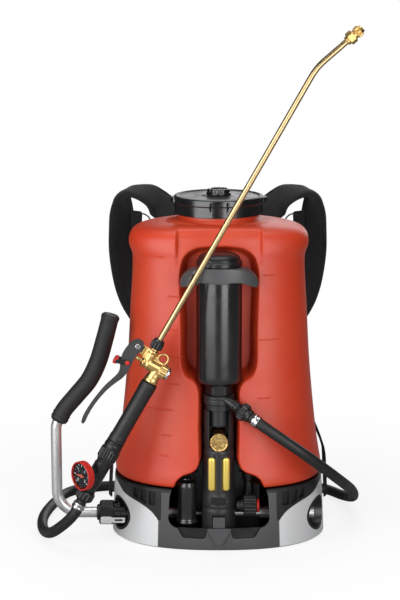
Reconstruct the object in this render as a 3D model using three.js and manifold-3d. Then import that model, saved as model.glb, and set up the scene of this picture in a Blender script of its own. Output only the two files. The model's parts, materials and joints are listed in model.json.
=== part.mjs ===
// Backpack sprayer with a hand-lever piston pump, spray gun and lance.
// Millimetres, +Z up. The origin is on the ground at the centre of the base.
// The pump faces -Y, the wearer's back is on the +Y side, and the hand lever is on the -X side.

import * as THREE from "three";
import { mergeVertices } from "three/addons/utils/BufferGeometryUtils.js";
import Module from "manifold-3d";

const wasm = await Module();
wasm.setup();

// ---------------------------------------------------------------- driving dimensions

const GAP = 0.3; // clearance between neighbouring pieces

// Base: a tapered tub whose plan is a superellipse, wider than it is deep.
const BASE = {
  halfWidth: 151, front: 113, back: 98, middle: -5, height: 85, taper: 0.027, wall: 5, floor: 4,
};
const PLAN_POWER = 2.35; // roundness of the plan outline
const WINDOW = { halfWidth: 70, sill: 31, radius: 14, depth: 40 }; // front opening of the base
const TONGUE = { halfWidth: 8.5, bottom: 10, top: 48, front: -112, back: -100.4 }; // holds the pump's foot

// Pump lever axis: along X, through both hubs of the base.
const HUB = { y: -50, z: 35, recess: 21.5, outer: 24.2, inner: 107, face: 155, floor: 113 };
const SHAFT = { radius: 8, left: -145.5, right: 134 };
const CRANK = { length: 32, halfThick: 4, endRadius: 7, pinRadius: 4, pinHalf: 12 };

// Pump stack: everything stands on this vertical axis.
const PUMP = { x: 0, y: -82 };
const HOUSING = { radius: 21.5, foot: 23, bore: 17.5, bottom: 6, bulge: 76, top: 139, armTop: 195 };
const CYLINDER = { outer: 17.1, inner: 15, bottom: 74, top: 137 };
const HEAD = { sleeve: 14.2, bottom: 171, shoulder: 195, collar: 21, top: 216 };
const NECK_NUT = { across: 18.5, bottom: 216.4, top: 231.9 };
const CHAMBER = { radius: 31, wall: 3, bottom: 232.3, top: 378, capTop: 413 };

// Tank: height, half width, reach to the front and reach to the back of each level.
const TANK_LEVELS = [
  [87, 145, 108, 95],
  [98, 146, 109, 96],
  [135, 140, 103, 97],
  [176, 135, 97, 97],
  [249, 128, 89, 97],
  [316, 124, 84, 97],
  [384, 120, 79, 96],
  [416, 125, 77, 95],
  [426, 123, 75, 92],
  [436, 114, 70, 86],
  [442, 92, 59, 74],
];
const TANK = { middle: 0, wall: 3, recessFloor: -50, sides: 28 };
const NECK = { y: 10, radius: 56, bore: 52, bottom: 437, top: 470 };
const LID = { radius: 62.5, inside: 57.4, bottom: 453, under: 474.6, top: 478 };

// Hose outlet of the pump: a point on its axis and its direction.
const OUTLET = { start: [20.3, -102, 204.7], direction: [0.787, -0.375, -0.49] };
const HOSE = { radius: 7.5, sides: 8, steps: 48 };

// Spray gun: its own frame stands at the top of the grip, with +Z up the lance.
const GUN = { origin: [-93, -124, 243], tilt: 29.5 };
const GRIP = { radius: 11, length: 95 };
const LANCE = { x: -16.8, radius: 4, foot: 45, bend: 472, bendAngle: 19.5, tail: 50 };
const VALVE = { z: 21, stemRadius: 3 };
const TRIGGER = { pivot: [-38.6, 36.1], lock: [-40, 10], half: 7, bladeHalf: 5.5 };
const GAUGE = { z: -144.2, direction: [-0.655, -0.66, -0.37], radius: 20 };

const LEVER_RADIUS = 7.5;
const WEBBING = { width: 25, thickness: 2.6, steps: 14 };
const STRAP = { width: 52, thickness: 9, steps: 24 };

// ---------------------------------------------------------------- materials

const finish = (color, roughness, metalness = 0, extra = {}) =>
  new THREE.MeshStandardMaterial({ color, roughness, metalness, ...extra });

const redPlastic = () => finish(0xc8281e, 0.42);
const blackPlastic = () => finish(0x1b1c1e, 0.45);
const greyPlastic = () => finish(0x45464a, 0.5);
const blackRubber = () => finish(0x141414, 0.8);
const blackFabric = () => finish(0x17181a, 0.95);
const brass = () => finish(0xc99a3f, 0.3, 1);
const steel = () => finish(0xb9bcc0, 0.35, 1);
const silverPanel = () => finish(0xc4c6c9, 0.3, 0.6);
const whitePlastic = () => finish(0xe6e6e2, 0.5);
const clearPlastic = () => finish(0xffffff, 0.1, 0, { transparent: true, opacity: 0.3 });

// ---------------------------------------------------------------- geometry helpers

const vec = (x, y, z) => new THREE.Vector3(x, y, z);

// Turns a closed three.js geometry into a solid, with its faces pointing out.
function solid(geometry) {
  const bare = geometry.clone();
  bare.deleteAttribute("normal");
  bare.deleteAttribute("uv");
  const merged = mergeVertices(bare, 1e-3);
  const points = merged.attributes.position.array;
  const triangles = [];
  let volume = 0;
  for (let i = 0; i < merged.index.count; i += 3) {
    const [a, b, c] = [0, 1, 2].map((k) => merged.index.getX(i + k));
    if (a === b || b === c || c === a) continue;
    triangles.push([a, b, c]);
    const [p, q, r] = [a, b, c].map((k) => new THREE.Vector3().fromArray(points, 3 * k));
    volume += p.dot(q.cross(r));
  }
  const order = volume < 0 ? ([a, b, c]) => [a, c, b] : (triangle) => triangle;
  const triVerts = new Uint32Array(triangles.flatMap(order));
  return new wasm.Manifold(new wasm.Mesh({ numProp: 3, vertProperties: new Float32Array(points), triVerts }));
}

const join = (first, ...others) => others.reduce((body, other) => body.add(other), first);
const cut = (first, ...tools) => tools.reduce((body, tool) => body.subtract(tool), first);

// Adds a solid to a group as a named mesh.
function piece(parent, name, body, material) {
  const { vertProperties, triVerts } = body.getMesh();
  const geometry = new THREE.BufferGeometry();
  geometry.setAttribute("position", new THREE.BufferAttribute(new Float32Array(vertProperties), 3));
  geometry.setIndex(new THREE.BufferAttribute(new Uint32Array(triVerts), 1));
  geometry.computeVertexNormals();
  const mesh = new THREE.Mesh(geometry, material);
  mesh.name = name;
  parent.add(mesh);
}

const ring2 = (radius, sides) =>
  Array.from({ length: sides }, (_, i) => {
    const angle = (2 * Math.PI * i) / sides;
    return new THREE.Vector2(radius * Math.cos(angle), radius * Math.sin(angle));
  });

// Box between two opposite corners.
function box([x0, y0, z0], [x1, y1, z1]) {
  const geometry = new THREE.BoxGeometry(x1 - x0, y1 - y0, z1 - z0);
  return solid(geometry.translate((x0 + x1) / 2, (y0 + y1) / 2, (z0 + z1) / 2));
}

// Round bar or cone between two points.
function rod(from, to, radius, sides = 16, endRadius = radius) {
  const start = vec(...from);
  const along = vec(...to).sub(start);
  const geometry = new THREE.CylinderGeometry(endRadius, radius, along.length(), sides);
  geometry.translate(0, along.length() / 2, 0);
  geometry.applyQuaternion(new THREE.Quaternion().setFromUnitVectors(vec(0, 1, 0), along.normalize()));
  return solid(geometry.translate(...start));
}

// Solid of revolution about a vertical axis at x, y; the profile is a list of [radius, z].
function turned(profile, sides = 20, x = 0, y = 0) {
  const points = profile.map(([radius, z]) => new THREE.Vector2(radius, z));
  return solid(new THREE.LatheGeometry(points, sides).rotateX(Math.PI / 2).translate(x, y, 0));
}

const tube = (outer, inner, bottom, top, sides = 20, x = 0, y = 0) =>
  turned([[inner, bottom], [outer, bottom], [outer, top], [inner, top], [inner, bottom]], sides, x, y);

// Flat plate whose outline is given as [x, z] points, between two values of y.
function plate(outline, front, back) {
  const shape = new THREE.Shape(outline.map(([x, z]) => new THREE.Vector2(x, z)));
  const geometry = new THREE.ExtrudeGeometry(shape, { depth: back - front, bevelEnabled: false });
  return solid(geometry.rotateX(Math.PI / 2).translate(0, back, 0));
}

// Skin through a row of rings with equal counts of points, closed by a fan at each end.
function loft(rings) {
  const count = rings[0].length;
  const positions = rings.flat().flatMap((point) => point.toArray());
  const index = [];
  for (let r = 0; r + 1 < rings.length; r += 1) {
    for (let i = 0; i < count; i += 1) {
      const [a, b] = [r * count + i, r * count + ((i + 1) % count)];
      index.push(a, b, b + count, a, b + count, a + count);
    }
  }
  const last = (rings.length - 1) * count;
  for (let i = 1; i + 1 < count; i += 1) {
    index.push(0, i + 1, i, last, last + i, last + i + 1);
  }
  const geometry = new THREE.BufferGeometry();
  geometry.setAttribute("position", new THREE.Float32BufferAttribute(positions, 3));
  geometry.setIndex(index);
  return solid(geometry);
}

// Round bar along a row of points, with one ring square to the path at each of them.
function pipe(stations, radius, sides = 12) {
  let side = null;
  const rings = stations.map((centre, i) => {
    const before = stations[Math.max(i - 1, 0)];
    const after = stations[Math.min(i + 1, stations.length - 1)];
    const along = after.clone().sub(before).normalize();
    side = side ?? vec(0, 1, 0).cross(along).normalize();
    side = side.clone().addScaledVector(along, -side.dot(along)).normalize();
    const up = along.clone().cross(side);
    const rim = ({ x, y }) => centre.clone().addScaledVector(side, x).addScaledVector(up, y);
    return ring2(radius, sides).map(rim);
  });
  return loft(rings);
}

// Flat band through stations of centre and width direction.
function band(centres, widths, width, thickness, steps) {
  const path = new THREE.CatmullRomCurve3(centres.map((point) => vec(...point)));
  const turn = new THREE.CatmullRomCurve3(widths.map((direction) => vec(...direction)));
  const rings = [];
  for (let i = 0; i <= steps; i += 1) {
    const centre = path.getPoint(i / steps);
    const across = turn.getPoint(i / steps).normalize();
    const face = path.getTangent(i / steps).cross(across).normalize().multiplyScalar(thickness / 2);
    across.multiplyScalar(width / 2);
    const corner = (w, n) => centre.clone().addScaledVector(across, w).addScaledVector(face, n);
    rings.push([corner(-1, -1), corner(1, -1), corner(1, 1), corner(-1, 1)]);
  }
  return loft(rings);
}

const signedPower = (value, power) => Math.sign(value) * Math.abs(value) ** power;

// Point of a superellipse plan at an angle from +X, drawn in by an inset.
function planPoint(angle, size, inset = 0, power = PLAN_POWER) {
  const reach = Math.sin(angle) < 0 ? size.front + size.middle : size.back - size.middle;
  const x = (size.halfWidth - inset) * signedPower(Math.cos(angle), 2 / power);
  const y = size.middle + (reach - inset) * signedPower(Math.sin(angle), 2 / power);
  return [x, y];
}

const planRing = (size, z, inset, sides) =>
  Array.from({ length: sides }, (_, i) => vec(...planPoint((2 * Math.PI * i) / sides, size, inset), z));

// ---------------------------------------------------------------- base

const baseSizeAt = (z) => {
  const scale = 1 - (BASE.taper * z) / BASE.height;
  const { halfWidth, front, back, middle } = BASE;
  return { halfWidth: halfWidth * scale, front: front * scale, back: back * scale, middle };
};
const baseRing = (z, inset) => planRing(baseSizeAt(z), z, inset, 36);

// Top edge of a silver panel, as height over distance from the middle of the base.
const PANEL_EDGE = [[60, 22], [80, 26], [83, 36], [94, 50], [112, 60], [135, 68], [145, 77], [152, 82]];
const PANEL = { thickness: 2.4, bottom: 2, frontAngle: -1.04, backAngle: 1.02, steps: 12 };

function panelTop(x) {
  const reach = Math.abs(x);
  const next = PANEL_EDGE.findIndex(([edge]) => edge > reach);
  const [[x0, z0], [x1, z1]] = [PANEL_EDGE[next - 1], PANEL_EDGE[next]];
  return z0 + ((z1 - z0) * (reach - x0)) / (x1 - x0);
}

// Curved sheet that follows the base, grown by a margin on every edge.
function panelSheet(side, outset, inset, margin) {
  const rings = [];
  for (let i = 0; i <= PANEL.steps; i += 1) {
    const share = i / PANEL.steps;
    const spread = margin / 130;
    const angle = THREE.MathUtils.lerp(PANEL.frontAngle - spread, PANEL.backAngle + spread, share);
    const at = (z, offset) => {
      const [x, y] = planPoint(angle, baseSizeAt(z), offset);
      return vec(side * x, y, z);
    };
    const bottom = PANEL.bottom - margin;
    const top = panelTop(planPoint(angle, BASE)[0]) + margin;
    rings.push([at(bottom, -outset), at(top, -outset), at(top, inset), at(bottom, inset)]);
  }
  return loft(rings);
}

const hubBar = (side, from, to, radius, sides = 20) =>
  rod([side * from, HUB.y, HUB.z], [side * to, HUB.y, HUB.z], radius, sides);

// Rounded opening in the front of the base, open towards the tank.
function windowTool() {
  const { halfWidth, sill, radius, depth } = WINDOW;
  const corner = Array.from({ length: 6 }, (_, i) => (i * Math.PI) / 10);
  const right = corner.map((a) => [
    halfWidth - radius + radius * Math.sin(a),
    sill + radius - radius * Math.cos(a),
  ]);
  const left = right.map(([x, z]) => [-x, z]).reverse();
  const outline = [...right, [halfWidth, BASE.height + 10], [-halfWidth, BASE.height + 10], ...left];
  return plate(outline, -BASE.front - 10, -BASE.front + depth);
}

const baseOutside = () => loft([baseRing(0, 0), baseRing(BASE.height, 0)]);

function baseFrame() {
  const outer = baseOutside();
  const inner = loft([baseRing(BASE.floor, BASE.wall), baseRing(BASE.height + 5, BASE.wall)]);
  let frame = cut(outer, inner, windowTool());
  const tongue = box(
    [-TONGUE.halfWidth, TONGUE.front, TONGUE.bottom],
    [TONGUE.halfWidth, TONGUE.back, TONGUE.top],
  );
  frame = join(frame, tongue);
  for (const side of [-1, 1]) {
    const boss = hubBar(side, HUB.inner - 2, HUB.face, HUB.outer + 4).intersect(outer);
    frame = join(frame, boss);
    frame = cut(frame, hubBar(side, HUB.inner - 10, 170, HUB.outer + GAP));
    frame = cut(frame, panelSheet(side, 3, PANEL.thickness + GAP, GAP));
  }
  return frame;
}

const sidePanel = (side) =>
  cut(panelSheet(side, 0, PANEL.thickness, 0), hubBar(side, 100, 170, HUB.outer + GAP));

// Hub bearing: a bush for the shaft with a cup, flush with the base, that takes the lever socket.
function hubBush(side) {
  const body = hubBar(side, HUB.inner, HUB.face, HUB.outer).intersect(baseOutside());
  return cut(
    body,
    hubBar(side, HUB.floor, HUB.face + 5, HUB.recess),
    hubBar(side, HUB.inner - 5, HUB.floor + 5, SHAFT.radius + GAP, 16),
  );
}

// ---------------------------------------------------------------- tank, strainer and lid

const tankRing = ([z, halfWidth, front, back], inset) =>
  planRing({ halfWidth, front, back, middle: TANK.middle }, z, inset, TANK.sides);

// Right half of the front recess: up over the foot, the pump and the pressure chamber.
const RECESS_EDGE = [
  [61, 78], [58, 92], [49, 103], [35, 108], [28, 115], [25, 126], [28, 150], [28, 226],
  [44, 238], [50, 252], [50, 392], [44, 408], [30, 418],
];

// Moves every point of a counter-clockwise outline outwards along its corner normal.
function grown(outline, distance) {
  return outline.map((point, i) => {
    const before = outline[(i + outline.length - 1) % outline.length];
    const after = outline[(i + 1) % outline.length];
    const [dx, dz] = [after[0] - before[0], after[1] - before[1]];
    const size = Math.hypot(dx, dz);
    return [point[0] + (distance * dz) / size, point[1] - (distance * dx) / size];
  });
}

function recessTool(margin) {
  const left = RECESS_EDGE.map(([x, z]) => [-x, z]).reverse();
  return plate(grown([...RECESS_EDGE, ...left], margin), -150, TANK.recessFloor + margin);
}

function tank() {
  const outer = loft(TANK_LEVELS.map((level) => tankRing(level, 0)));
  const inside = TANK_LEVELS.map(([z, ...size], i) => {
    if (i === 0) return [z + TANK.wall, ...size];
    return i === TANK_LEVELS.length - 1 ? [z - TANK.wall, ...size] : [z - 1, ...size];
  });
  const cavity = cut(loft(inside.map((level) => tankRing(level, TANK.wall))), recessTool(TANK.wall));
  const onNeck = (radius, bottom, top) =>
    turned([[0, bottom], [radius, bottom], [radius, top], [0, top]], 24, 0, NECK.y);
  const neck = onNeck(NECK.radius, NECK.bottom, NECK.top);
  const bore = onNeck(NECK.bore, 425, NECK.top + 10);
  return cut(join(cut(outer, recessTool(0)), neck), cavity, bore);
}

// Basket that hangs in the filler neck and keeps dirt out of the tank.
function fillerStrainer() {
  const [wall, top, floor, rim] = [2, NECK.top + 1.8, 408, NECK.top + GAP];
  const outside = NECK.bore - 1.5;
  const basket = turned(
    [
      [0, floor], [outside - 6, floor], [outside, rim], [NECK.radius, rim], [NECK.radius, top],
      [outside - wall, top], [outside - 6 - wall, floor + wall], [0, floor + wall],
    ],
    20, 0, NECK.y,
  );
  const slots = [0, 1, 2].map((i) => {
    const angle = (i * Math.PI) / 3;
    const [dx, dy] = [60 * Math.cos(angle), 60 * Math.sin(angle)];
    return rod([-dx, NECK.y - dy, 440], [dx, NECK.y + dy, 440], 9, 6);
  });
  return cut(basket, ...slots);
}

const lidGasket = () => tube(NECK.radius, NECK.bore - 3, NECK.top + 2.1, LID.under - GAP, 24, 0, NECK.y);

function lid() {
  const { radius, inside, bottom, under, top } = LID;
  const cup = turned(
    [
      [inside, bottom], [radius, bottom], [radius, top - 4], [radius - 1.5, top - 1.5], [radius - 5, top],
      [0, top], [0, under], [inside, under], [inside, bottom],
    ],
    28, 0, NECK.y,
  );
  const lug = (side) => box([side * 61 - 6, 1, 468], [side * 61 + 6, 19, 476]);
  const keep = tube(80, inside, 460, 480, 28, 0, NECK.y);
  return join(cup, lug(1).intersect(keep), lug(-1).intersect(keep));
}

// Raised centre of the lid that lets air in as the tank empties.
const lidVent = () =>
  turned(
    [[0, LID.top + GAP], [16, LID.top + GAP], [16, 482.5], [13.5, 485], [7, 486.5], [0, 486.5]],
    18, 0, NECK.y,
  );

// ---------------------------------------------------------------- pump

const onPump = (profile, sides = 20) => turned(profile, sides, PUMP.x, PUMP.y);

// Upright slot with round ends, cut from the front towards the pump axis.
function frontSlot(x, halfWidth, bottom, top) {
  const arc = Array.from({ length: 5 }, (_, i) => (i * Math.PI) / 4);
  const outline = [
    ...arc.map((a) => [x + halfWidth * Math.cos(a), top - halfWidth + halfWidth * Math.sin(a)]),
    ...arc.map((a) => [x - halfWidth * Math.cos(a), bottom + halfWidth - halfWidth * Math.sin(a)]),
  ];
  return plate(outline, PUMP.y - 40, PUMP.y);
}

function pumpHousing() {
  const { radius, foot, bore, bottom, bulge, top, armTop } = HOUSING;
  const barrel = onPump([
    [bore, bottom], [radius, bottom], [foot, bottom + 50], [foot, bulge - 6], [radius, bulge],
    [radius, top], [bore, top], [bore, bottom],
  ], 24);
  const arms = cut(
    tube(20.5, HEAD.sleeve + 0.6, top - 1, armTop - GAP, 24, PUMP.x, PUMP.y),
    box([-13.5, PUMP.y - 30, top], [13.5, PUMP.y + 30, armTop + 5]),
  );
  const keepBore = turned([[0, top - 5], [bore, top - 5], [bore, top], [0, top]], 24, PUMP.x, PUMP.y);
  return cut(
    join(barrel, cut(arms, keepBore)),
    frontSlot(9.2, 5.35, 81, 131),
    frontSlot(-9.2, 5.35, 81, 131),
    box([-12.5, PUMP.y - 30, 63], [12.5, PUMP.y - HOUSING.radius + 1.5, 74]),
    box([-TONGUE.halfWidth - 0.5, -120, 0], [TONGUE.halfWidth + 0.5, TONGUE.back + 0.4, TONGUE.top + 0.5]),
    box([-5.5, PUMP.y + 10, 14], [5.5, PUMP.y + 30, 57]),
  );
}

const pumpCylinder = () =>
  tube(CYLINDER.outer, CYLINDER.inner, CYLINDER.bottom, CYLINDER.top, 24, PUMP.x, PUMP.y);

// Scotch yoke: two cheeks with a cross slot for the crank pin, and the piston rod on top.
function pistonYoke() {
  const [halfDepth, bottom, top] = [12.6, 26, 56];
  const frame = box([-10.4, PUMP.y - halfDepth, bottom], [10.4, PUMP.y + halfDepth, top]);
  const armSpace = box([-4.6, PUMP.y - 20, bottom - 5], [4.6, PUMP.y + 20, 50]);
  const slot = box([-20, PUMP.y - 4.6, HUB.z - 4.4], [20, PUMP.y + 7.4, HUB.z + 4.4]);
  const pistonRod = rod([PUMP.x, PUMP.y, top - 1], [PUMP.x, PUMP.y, 108], 5.5, 12);
  return join(cut(frame, armSpace, slot), pistonRod);
}

const piston = () =>
  onPump([
    [5.8, 92], [13.2, 92], [13.2, 96], [11, 96], [11, 100], [13.2, 100], [13.2, 104], [5.8, 104], [5.8, 92],
  ]);
const pistonSeal = () => tube(14.7, 11.3, 96.3, 99.7, 20, PUMP.x, PUMP.y);

function driveShaft() {
  return rod([SHAFT.left, HUB.y, HUB.z], [SHAFT.right, HUB.y, HUB.z], SHAFT.radius, 16);
}

// Arm that is keyed on the shaft and carries the crank pin at its free end.
function crankArm() {
  const { length, halfThick, endRadius, pinRadius, pinHalf } = CRANK;
  const pinY = HUB.y - length;
  const disc = (y, radius, half) => rod([-half, y, HUB.z], [half, y, HUB.z], radius, 16);
  const arm = join(
    disc(HUB.y, 14, halfThick),
    disc(pinY, endRadius, halfThick),
    box([-halfThick, pinY, HUB.z - endRadius], [halfThick, HUB.y, HUB.z + endRadius]),
    disc(pinY, pinRadius, pinHalf),
  );
  return cut(arm, disc(HUB.y, SHAFT.radius + GAP, 20));
}

function pumpHead() {
  const { sleeve, bottom, shoulder, collar, top } = HEAD;
  const body = onPump([
    [0, bottom], [sleeve - 3, bottom], [sleeve, bottom + 3], [sleeve, shoulder], [19, shoulder],
    [19, 203], [collar, 204], [collar, top], [0, top],
  ]);
  const port = join(outletRod(-13, 8.5, 6.5, 12), outletRod(-2, 1, 7.6, 12), outletRod(4, 6, 7.6, 12));
  const bore = onPump([[0, 185], [9, 185], [9, top + 5], [0, top + 5]], 14);
  return cut(join(body, port), bore, outletRod(-12, 20, 4, 8));
}

// Hexagon that screws the pressure chamber onto the pump head.
function chamberNeck() {
  const { across, bottom, top } = NECK_NUT;
  const nut = onPump([[0, bottom], [across, bottom], [across, top - 3], [across - 3, top], [0, top]], 6);
  return cut(nut, onPump([[0, bottom - 5], [9, bottom - 5], [9, top + 5], [0, top + 5]], 14));
}

function pressureChamber() {
  const { radius, wall, bottom, top } = CHAMBER;
  return onPump([
    [9, bottom], [radius - 6, bottom], [radius - 1.5, bottom + 3], [radius, bottom + 8], [radius, top],
    [radius - wall, top], [radius - wall, bottom + 9], [radius - 8, bottom + 4], [9, bottom + 4], [9, bottom],
  ], 24);
}

function chamberCap() {
  const { top, capTop } = CHAMBER;
  return onPump([
    [0, top + GAP], [30, top + GAP], [30, 395], [31, 396], [31, 401], [28.5, 403],
    [25, 409], [17, 412], [0, capTop],
  ], 24);
}

// Bracket over the chamber: two drooping wings, with a snap-in fork for the lance on the left.
function chamberSaddle() {
  const wing = [
    [0, 374], [24, 376], [36, 374], [47, 370], [55, 367.5], [56, 373], [52, 383], [42, 390], [30, 394],
    [0, 395],
  ];
  const outline = [...wing, ...wing.slice(1, -1).map(([x, z]) => [-x, z]).reverse()];
  const depthLimit = (() => {
    const rim = Array.from({ length: 28 }, (_, i) => {
      const angle = (2 * Math.PI * i) / 28;
      return vec(57 * Math.cos(angle), PUMP.y + 36 * Math.sin(angle), 360);
    });
    return loft([rim, rim.map((point) => vec(point.x, point.y, 405))]);
  })();
  const body = plate(outline, PUMP.y - 40, PUMP.y + 2).intersect(depthLimit);
  const hole = onPump([[0, 350], [31.5, 350], [31.5, 420], [0, 420]], 28);
  return join(cut(body, hole), lanceFork());
}

// Two fingers that clip over the lance from behind; the mouth faces -Y.
function lanceFork() {
  const [along, fingerIn, fingerOut] = [150, LANCE.radius + 0.5, LANCE.radius + 3];
  const finger = (side) => {
    const [a, b] = [side * fingerIn, side * fingerOut].map((offset) => LANCE.x + offset);
    return new THREE.BoxGeometry(Math.abs(b - a), 16, 8).translate((a + b) / 2, 9, along);
  };
  const bridge = new THREE.BoxGeometry(2 * fingerOut, 6, 8).translate(LANCE.x, 14, along);
  const parts = [finger(-1), finger(1), bridge].map((geometry) => solid(geometry.applyMatrix4(gunMatrix())));
  const keepClear = onPump([[0, 350], [31.5, 350], [31.5, 420], [0, 420]], 28);
  return cut(join(...parts), keepClear);
}

const mountDisc = () => rod([0, -60, 146], [0, TANK.recessFloor - GAP, 146], 25, 24);

// Knurled plug between the fork arms that closes the pump's valve chamber.
const valvePlug = () =>
  join(rod([0, -106, 152.2], [0, -101, 152.2], 12.6, 20), rod([0, -101.5, 152.2], [0, -68, 152.2], 10.5, 14));

// ---------------------------------------------------------------- suction side and outlet

function suctionCup() {
  return turned([
    [0, 33], [15.5, 33], [15.5, 36], [13, 39], [13, 92], [10, 92], [10, 50], [0, 50],
  ], 20, -44, -84);
}

// Elbow that brings the liquid down from the tank and across to the pump's foot.
function suctionElbow() {
  const points = [vec(42, -60, 98), vec(42, -61, 82), vec(41, -62, 62), vec(26, -64, 50)];
  const path = new THREE.CatmullRomCurve3(points);
  return join(pipe(path.getPoints(7), 6.5), rod([42, -60, 90], [42, -60, 98], 9));
}

// Hand screw at the foot of the pump.
const suctionKnob = () =>
  join(rod([34, -92, 59], [52, -92, 59], 14.6, 14), rod([24.5, -92, 59], [35, -92, 59], 7));

const knobCap = () => rod([52 + GAP, -92, 59], [56, -92, 59], 9.5);

// Point on the outlet's axis, at a distance from its start.
const outletPoint = (t) => vec(...OUTLET.start).addScaledVector(vec(...OUTLET.direction).normalize(), t);
const outletRod = (from, to, radius, sides = 14) =>
  rod(outletPoint(from).toArray(), outletPoint(to).toArray(), radius, sides);

// Ribbed union nut that holds the hose on the pump outlet.
function outletNut() {
  const body = join(outletRod(9, 24, 10.5, 10), outletRod(12, 20, 12.5, 10), outletRod(23, 28, 9));
  return cut(body, outletRod(0, 40, 5, 14));
}

const outletFerrule = () => cut(outletRod(34, 42, 9.4), outletRod(30, 50, HOSE.radius + 0.9));

// The hose leaves the pump, runs round the right side, behind the base and up to the gun.
function hosePath() {
  const gun = (z) => vec(0, 0, z).applyMatrix4(gunMatrix());
  return new THREE.CatmullRomCurve3([
    outletPoint(29.2), outletPoint(50), vec(113, -121, 143), vec(141, -104, 118), vec(167, -72, 90),
    vec(187, -25, 62), vec(196, 15, 41), vec(198, 58, 22), vec(188, 102, 10), vec(158, 142, 8.2),
    vec(90, 158, 8.2), vec(0, 160, 8.2),
    vec(-110, 158, 8.2), vec(-180, 148, 8.2), vec(-221, 126, 8.2), vec(-241, 75, 8.2), vec(-252, 12, 8.2),
    vec(-250, -34, 8.6), vec(-241, -70, 12), vec(-227, -98, 24), gun(-215), gun(-190.6),
  ], false, "centripetal");
}

const hose = () => pipe(hosePath().getPoints(HOSE.steps), HOSE.radius, HOSE.sides);

// ---------------------------------------------------------------- hand lever

function leverSocket() {
  const { y, z } = HUB;
  return cut(
    join(rod([-168, y, z], [-128, y, z], 14.5, 20), box([-166, y - 14.8, z - 9], [-150, y, z + 2])),
    rod([-180, y, z], [-151, y, z], LEVER_RADIUS + 0.6, 16),
    rod([-146, y, z], [-120, y, z], SHAFT.radius + GAP, 16),
  );
}

// Latch that locks the folded lever in its socket.
function leverClip() {
  const plateBody = box([-165, HUB.y - 17.4, HUB.z - 11], [-131, HUB.y - 15.2, HUB.z - 2]);
  return cut(plateBody, box([-146, HUB.y - 20, HUB.z - 8.5], [-135, HUB.y - 10, HUB.z - 4.5]));
}

// The lever runs out of its socket, bends up beside the base, and leans back over the grip.
const LEVER_BEND = { x: -227, radius: 32, top: 150 };
const GRIP_PATH = [
  [-226, 163], [-216, 183], [-198, 205], [-180, 227], [-167, 254], [-158, 284], [-148.5, 320],
];
const leverPoint = ([x, z]) => vec(x, HUB.y, z);

const gripCurve = () => new THREE.CatmullRomCurve3(GRIP_PATH.map(leverPoint), false, "centripetal");

function leverStations() {
  const { x, radius, top } = LEVER_BEND;
  const bend = [0, 1, 2, 3, 4, 5].map((i) => {
    const angle = (i * Math.PI) / 10;
    return [x + radius - radius * Math.sin(angle), HUB.z + radius - radius * Math.cos(angle)];
  });
  return [...[[-152, HUB.z], ...bend, [x, top]].map(leverPoint), ...gripCurve().getPoints(9)];
}

const leverTube = () => pipe(leverStations(), LEVER_RADIUS);

// Foam sleeve over the upper part of the lever.
function leverGrip() {
  const stations = gripCurve().getPoints(9).slice(1);
  const ends = [stations[0].clone().sub(stations[1]), stations.at(-1).clone().sub(stations.at(-2))];
  const longer = [stations[0].clone().add(ends[0]), ...stations, stations.at(-1).clone().add(ends[1])];
  return cut(pipe(stations, 12), pipe(longer, LEVER_RADIUS + 0.9));
}

// ---------------------------------------------------------------- spray gun and lance

function gunMatrix() {
  const turn = new THREE.Matrix4().makeRotationY(THREE.MathUtils.degToRad(GUN.tilt));
  return turn.setPosition(...GUN.origin);
}

// Brass body: inlet from the grip, cross chamber for the valve, outlet to the lance, trigger bracket.
function valveBody() {
  const { z } = VALVE;
  const inlet = turned([[0, GAP], [9.5, GAP], [9.5, 10], [8, 13], [8, z], [0, z]], 18);
  const cross = rod([-24, 0, z], [12.6, 0, z], 8.2, 18);
  const cap = rod([4, 0, z], [12.6, 0, z], 9.6, 18);
  const outlet = turned([[0, z], [6.3, z], [6.3, 40], [5.6, 43.8], [0, 43.8]], 14, LANCE.x, 0);
  const [px, pz] = TRIGGER.pivot;
  const bracketEdge = [
    [-17, 27], [-17, 40], [-34, 41.5], [px - 4, pz + 3], [px - 4, 29], [-30, 28], [-22, 24],
  ];
  const bracket = plate(bracketEdge, -4, 4);
  const eye = solid(new THREE.TorusGeometry(6.6, 1.6, 6, 16).rotateX(Math.PI / 2).translate(0, 0, 36.5));
  const body = join(inlet, cross, cap, outlet, bracket, eye);
  return cut(
    body,
    rod([-40, 0, z], [2, 0, z], VALVE.stemRadius + 0.4, 12),
    rod([0, 0, -5], [0, 0, z], 4, 10),
    rod([LANCE.x, 0, z], [LANCE.x, 0, 50], 2.5, 8),
    rod([px, -10, pz], [px, 10, pz], 2.7, 12),
  );
}

const chromePlug = () =>
  cut(
    rod([13, 0, VALVE.z], [17, 0, VALVE.z], 9, 20),
    box([15.6, -1.2, VALVE.z - 12], [20, 1.2, VALVE.z + 12]),
  );

function valveStem() {
  const { z, stemRadius } = VALVE;
  return join(rod([-32.8, 0, z], [-30.2, 0, z], 3.8, 12), rod([-31, 0, z], [-4, 0, z], stemRadius, 10));
}

const TRIGGER_OUTLINE = [
  [-38.6, 43.8], [-45.5, 41], [-50, 29], [-51, 15], [-47.5, 3], [-43, -8], [-45.5, -20], [-50, -34],
  [-54.5, -58], [-55.8, -80], [-53, -93.5], [-49.8, -92], [-51, -80], [-49.5, -58], [-44.5, -34],
  [-38.5, -20], [-33.6, -9], [-34, 4], [-33.8, 26], [-31.4, 32], [-31.2, 38], [-34, 42.8],
];

// Lever under the fingers, forked at the top around the brass bracket.
function trigger() {
  const { pivot: [px, pz], lock: [lx, lz], half, bladeHalf } = TRIGGER;
  return cut(
    plate(TRIGGER_OUTLINE, -half, half),
    box([-70, -half - 1, -100], [0, -bladeHalf, -6]),
    box([-70, bladeHalf, -100], [0, half + 1, -6]),
    box([-70, -4.5, 25.5], [0, 4.5, 60]),
    rod([px, -20, pz], [px, 20, pz], 2.7, 12),
    rod([lx, -20, lz], [lx, 20, lz], 2.9, 12),
  );
}

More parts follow.
